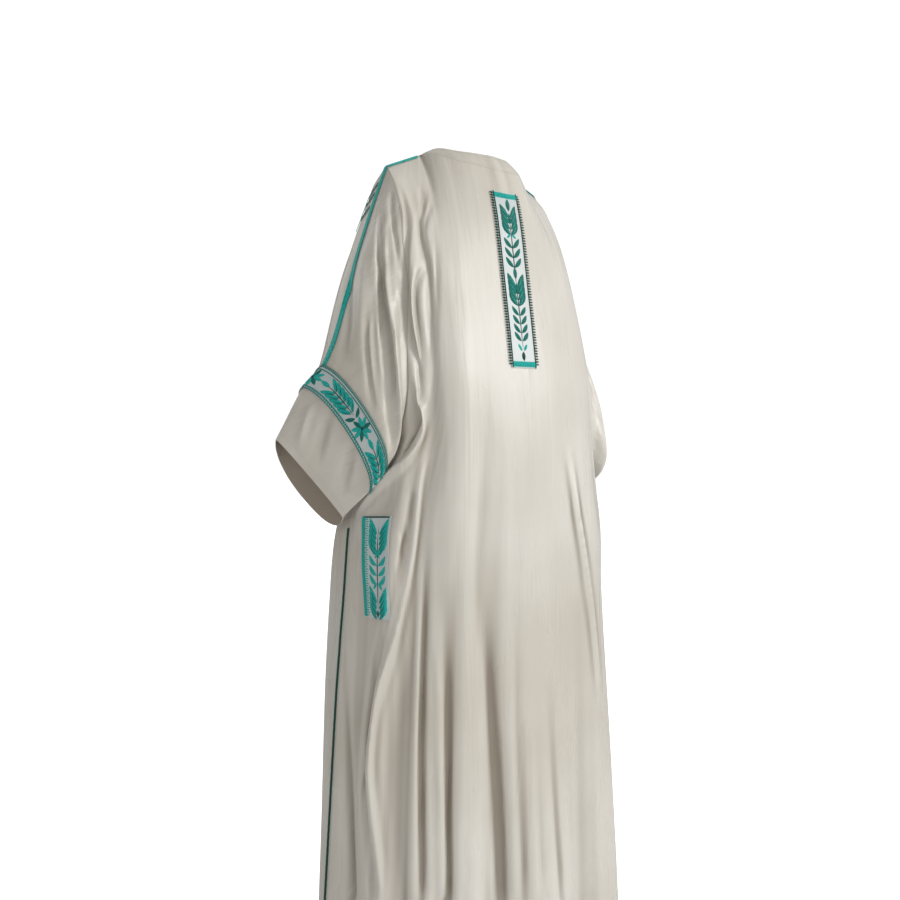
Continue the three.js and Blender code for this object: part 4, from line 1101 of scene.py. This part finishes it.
# bands round the sleeves
sprigPlaces = (0.046, 0.058, 0.070, 0.082, 0.094)
band = {
    "width": 0.055, "period": 0.143, "across": 301, "down": 15, "inset": 0.02,
    "toothAside": -0.0282, "toothPitch": 0.0038, "tooth": (0.0046, 0.0020, 0.0006, 0),
    "dotAside": 0.0234, "dotPitch": 0.0052, "dotTurn": 24, "dot": (0.0046, 0.0028, 0.0009, 0),
    "rosetteReach": 0.0118, "petals": 9, "petal": (0.0205, 0.0082, 0.0014, 0), "cordRadius": 0.0009,
    "lightPairs": ((sprigPlaces, 0.0096, 36, 0.029, 0.0100, 0.0014),),
    "veinShift": 0.0045,
    "veinPairs": ((sprigPlaces, 0.0086, 36, 0.024, 0.0024, 0.0020),),
    "endPairs": (((0.113,), 0.0098, 58, 0.021, 0.0078, 0.0012),),
    "bud": (0.032, 0, 180, 0.022, 0.0095, 0.0013, 0),
    "stems": ((0.072, 0, 0, 0.084, 0.0022, 0.0013, 0), (0, 0, 0, 0.0070, 0.0070, 0.0018, 0)),
    "cords": (-0.0262, -0.0212, 0.0212, 0.0262),
}


def makeBand(side):
    sleeve = sheets["sleeve_" + side]
    name = "band_" + side
    across = np.linspace(0, sleeve["grid"].shape[1], band["across"])[:-1]
    down = np.linspace(bandRows["first"] + band["inset"], bandRows["last"] - band["inset"], band["down"])
    points, normals = clothAt(sleeve, across, down)
    points = points + normals * (stripClearance + stripThickness)
    piece = makeStrip(name, points, stripGround, True)
    ring = np.concatenate([points, points[:, :1]], axis=1).transpose(1, 0, 2)[::-1]
    strip = stripSurface(ring, band["width"], True)
    length = strip["marks"][-1]
    count = round(length / band["period"])
    light, leaves, dark, petals = [], [], [], []
    for start in np.arange(count) * length / count:
        for index in range(band["petals"]):
            angle = index * 360 / band["petals"]
            turn = math.radians(angle)
            target = leaves if index % 3 == 1 else petals
            place = (start + band["rosetteReach"] * math.cos(turn), band["rosetteReach"] * math.sin(turn))
            target.append((*place, angle, *band["petal"]))
        light += pairRows(band["lightPairs"], start)
        leaves += pairRows(band["veinPairs"], start + band["veinShift"]) + pairRows(band["endPairs"], start)
        light.append((start + band["bud"][0], *band["bud"][1:]))
        dark += [(start + along, *rest) for along, *rest in band["stems"]]
    rounds = lambda pitch: np.arange(0, length, length / round(length / pitch))
    teeth = [(along, band["toothAside"], 90, *band["tooth"]) for along in rounds(band["toothPitch"])]
    dots = [(along, band["dotAside"], band["dotTurn"], *band["dot"]) for along in rounds(band["dotPitch"])]
    parts = [
        embroider(name + "_light_leaves", strip, "leaf", light, turquoise),
        embroider(name + "_teal_leaves", strip, "leaf", leaves, midTeal),
        embroider(name + "_stems", strip, "leaf", dark, darkGreen),
        embroider(name + "_petals", strip, "petal", petals, turquoise),
        embroider(name + "_teeth", strip, "grain", teeth, borderTeal),
        embroider(name + "_dots", strip, "grain", dots, turquoise),
    ]
    for index, aside in enumerate(band["cords"]):
        cordName = name + "_cord_" + str(index + 1)
        parts.append(edgeCord(cordName, strip, aside, band["cordRadius"], borderTeal))
    print("band made:", side, round(length, 3), "m round,", count, "repeats")


for side in ("left", "right"):
    makeBand(side)


# overarm trim, shoulder stripes and piping
trims = {"cut": (0.012, 0.455), "divisions": (8, 130), "stripeDivisions": (24, 6)}
piping = {"radius": 0.0021, "sunk": 0.6, "steps": 150}


def makeTrims(side):
    cloths = ["back", "front_" + side, "sleeve_" + side]
    name = "overarm_trim_" + side
    points = stripFrom(name, cloths, *trims["divisions"])
    piece = makeStrip(name, points, braid)
    for number in ("1", "2", "3"):
        stripe = "shoulder_stripe_" + side + "_" + number
        points = stripFrom(stripe, cloths, *trims["stripeDivisions"])
        stripePiece = makeStrip(stripe, points, borderTeal)
        stripePiece.data.uv_layers[0].name = "threadMap"
    cord = "side_piping_" + side
    grid = readSheet(cord)["grid"]
    path = smoothGrid(grid, 2, piping["steps"])[:, 1:2]
    path = layOn(path, ["back", "front_" + side], piping["radius"] * piping["sunk"])[:, 0]
    cordAlong("piping_" + side, path, piping["radius"], cordGreen, replaced=cord)


for side in ("left", "right"):
    makeTrims(side)
print("trims made")


# sewn lines on the cloth
stitching = {"pitch": 0.0048, "length": 0.0034, "width": 0.0008, "height": 0.00045}


def sewnLine(name, sheetName, across, down):
    # Stitches along a line of places on a cloth.
    sheet = sheets[sheetName]
    places, normals = clothAt(sheet, np.asarray(across), np.asarray(down), "pairs")
    marks = lengthsAlong(places)
    along = np.arange(stitching["pitch"], marks[-1] - stitching["pitch"], stitching["pitch"])
    at = lambda table, marksAt: np.stack([np.interp(marksAt, marks, column) for column in table.T], axis=1)
    centre, normal = at(places, along), unit(at(normals, along))
    forward = unit(at(places, along + 0.001) - at(places, along - 0.001))
    aside = np.cross(normal, forward)
    points, faces = forms["grain"]
    chunks = [
        centre[k]
        + points[:, :1] * forward[k] * stitching["length"] / 2
        + points[:, 1:2] * aside[k] * stitching["width"] / 2
        + points[:, 2:] * normal[k] * stitching["height"]
        for k in range(len(along))
    ]
    maps = [points[:, :2] * (stitching["length"] / 2, stitching["width"] / 2)] * len(chunks)
    return joinedMesh(name, chunks, faces, maps, seamThread)


def lineDown(sheetName, down, trim=0.0, count=500):
    rows, columns = sheets[sheetName]["grid"].shape[:2]
    closed = sheets[sheetName]["closedRound"]
    across = np.linspace(trim, (columns if closed else columns - 1) - trim, count)
    return across, np.full(count, down)


sewn = {name: [] for name in clothSizes}
lines = (
    ("back", "hem", 26.68), ("front_left", "hem", 26.68), ("front_right", "hem", 26.68),
    ("sleeve_left", "cuff", 15.62), ("sleeve_right", "cuff", 15.62),
    ("neckband", "edge", 0.3), ("neckband", "seam", 1.72),
)
for sheetName, label, down in lines:
    across, downs = lineDown(sheetName, down, 0.05)
    sewn[sheetName].append(sewnLine("stitches_" + sheetName + "_" + label, sheetName, across, downs))
for name, rim in armholeRims.items():
    seam = cordAlong("armhole_seam_" + name, rim, armhole["seamRadius"], seamThread, True)
    sewn[name].append(seam)
print("sewn lines made")
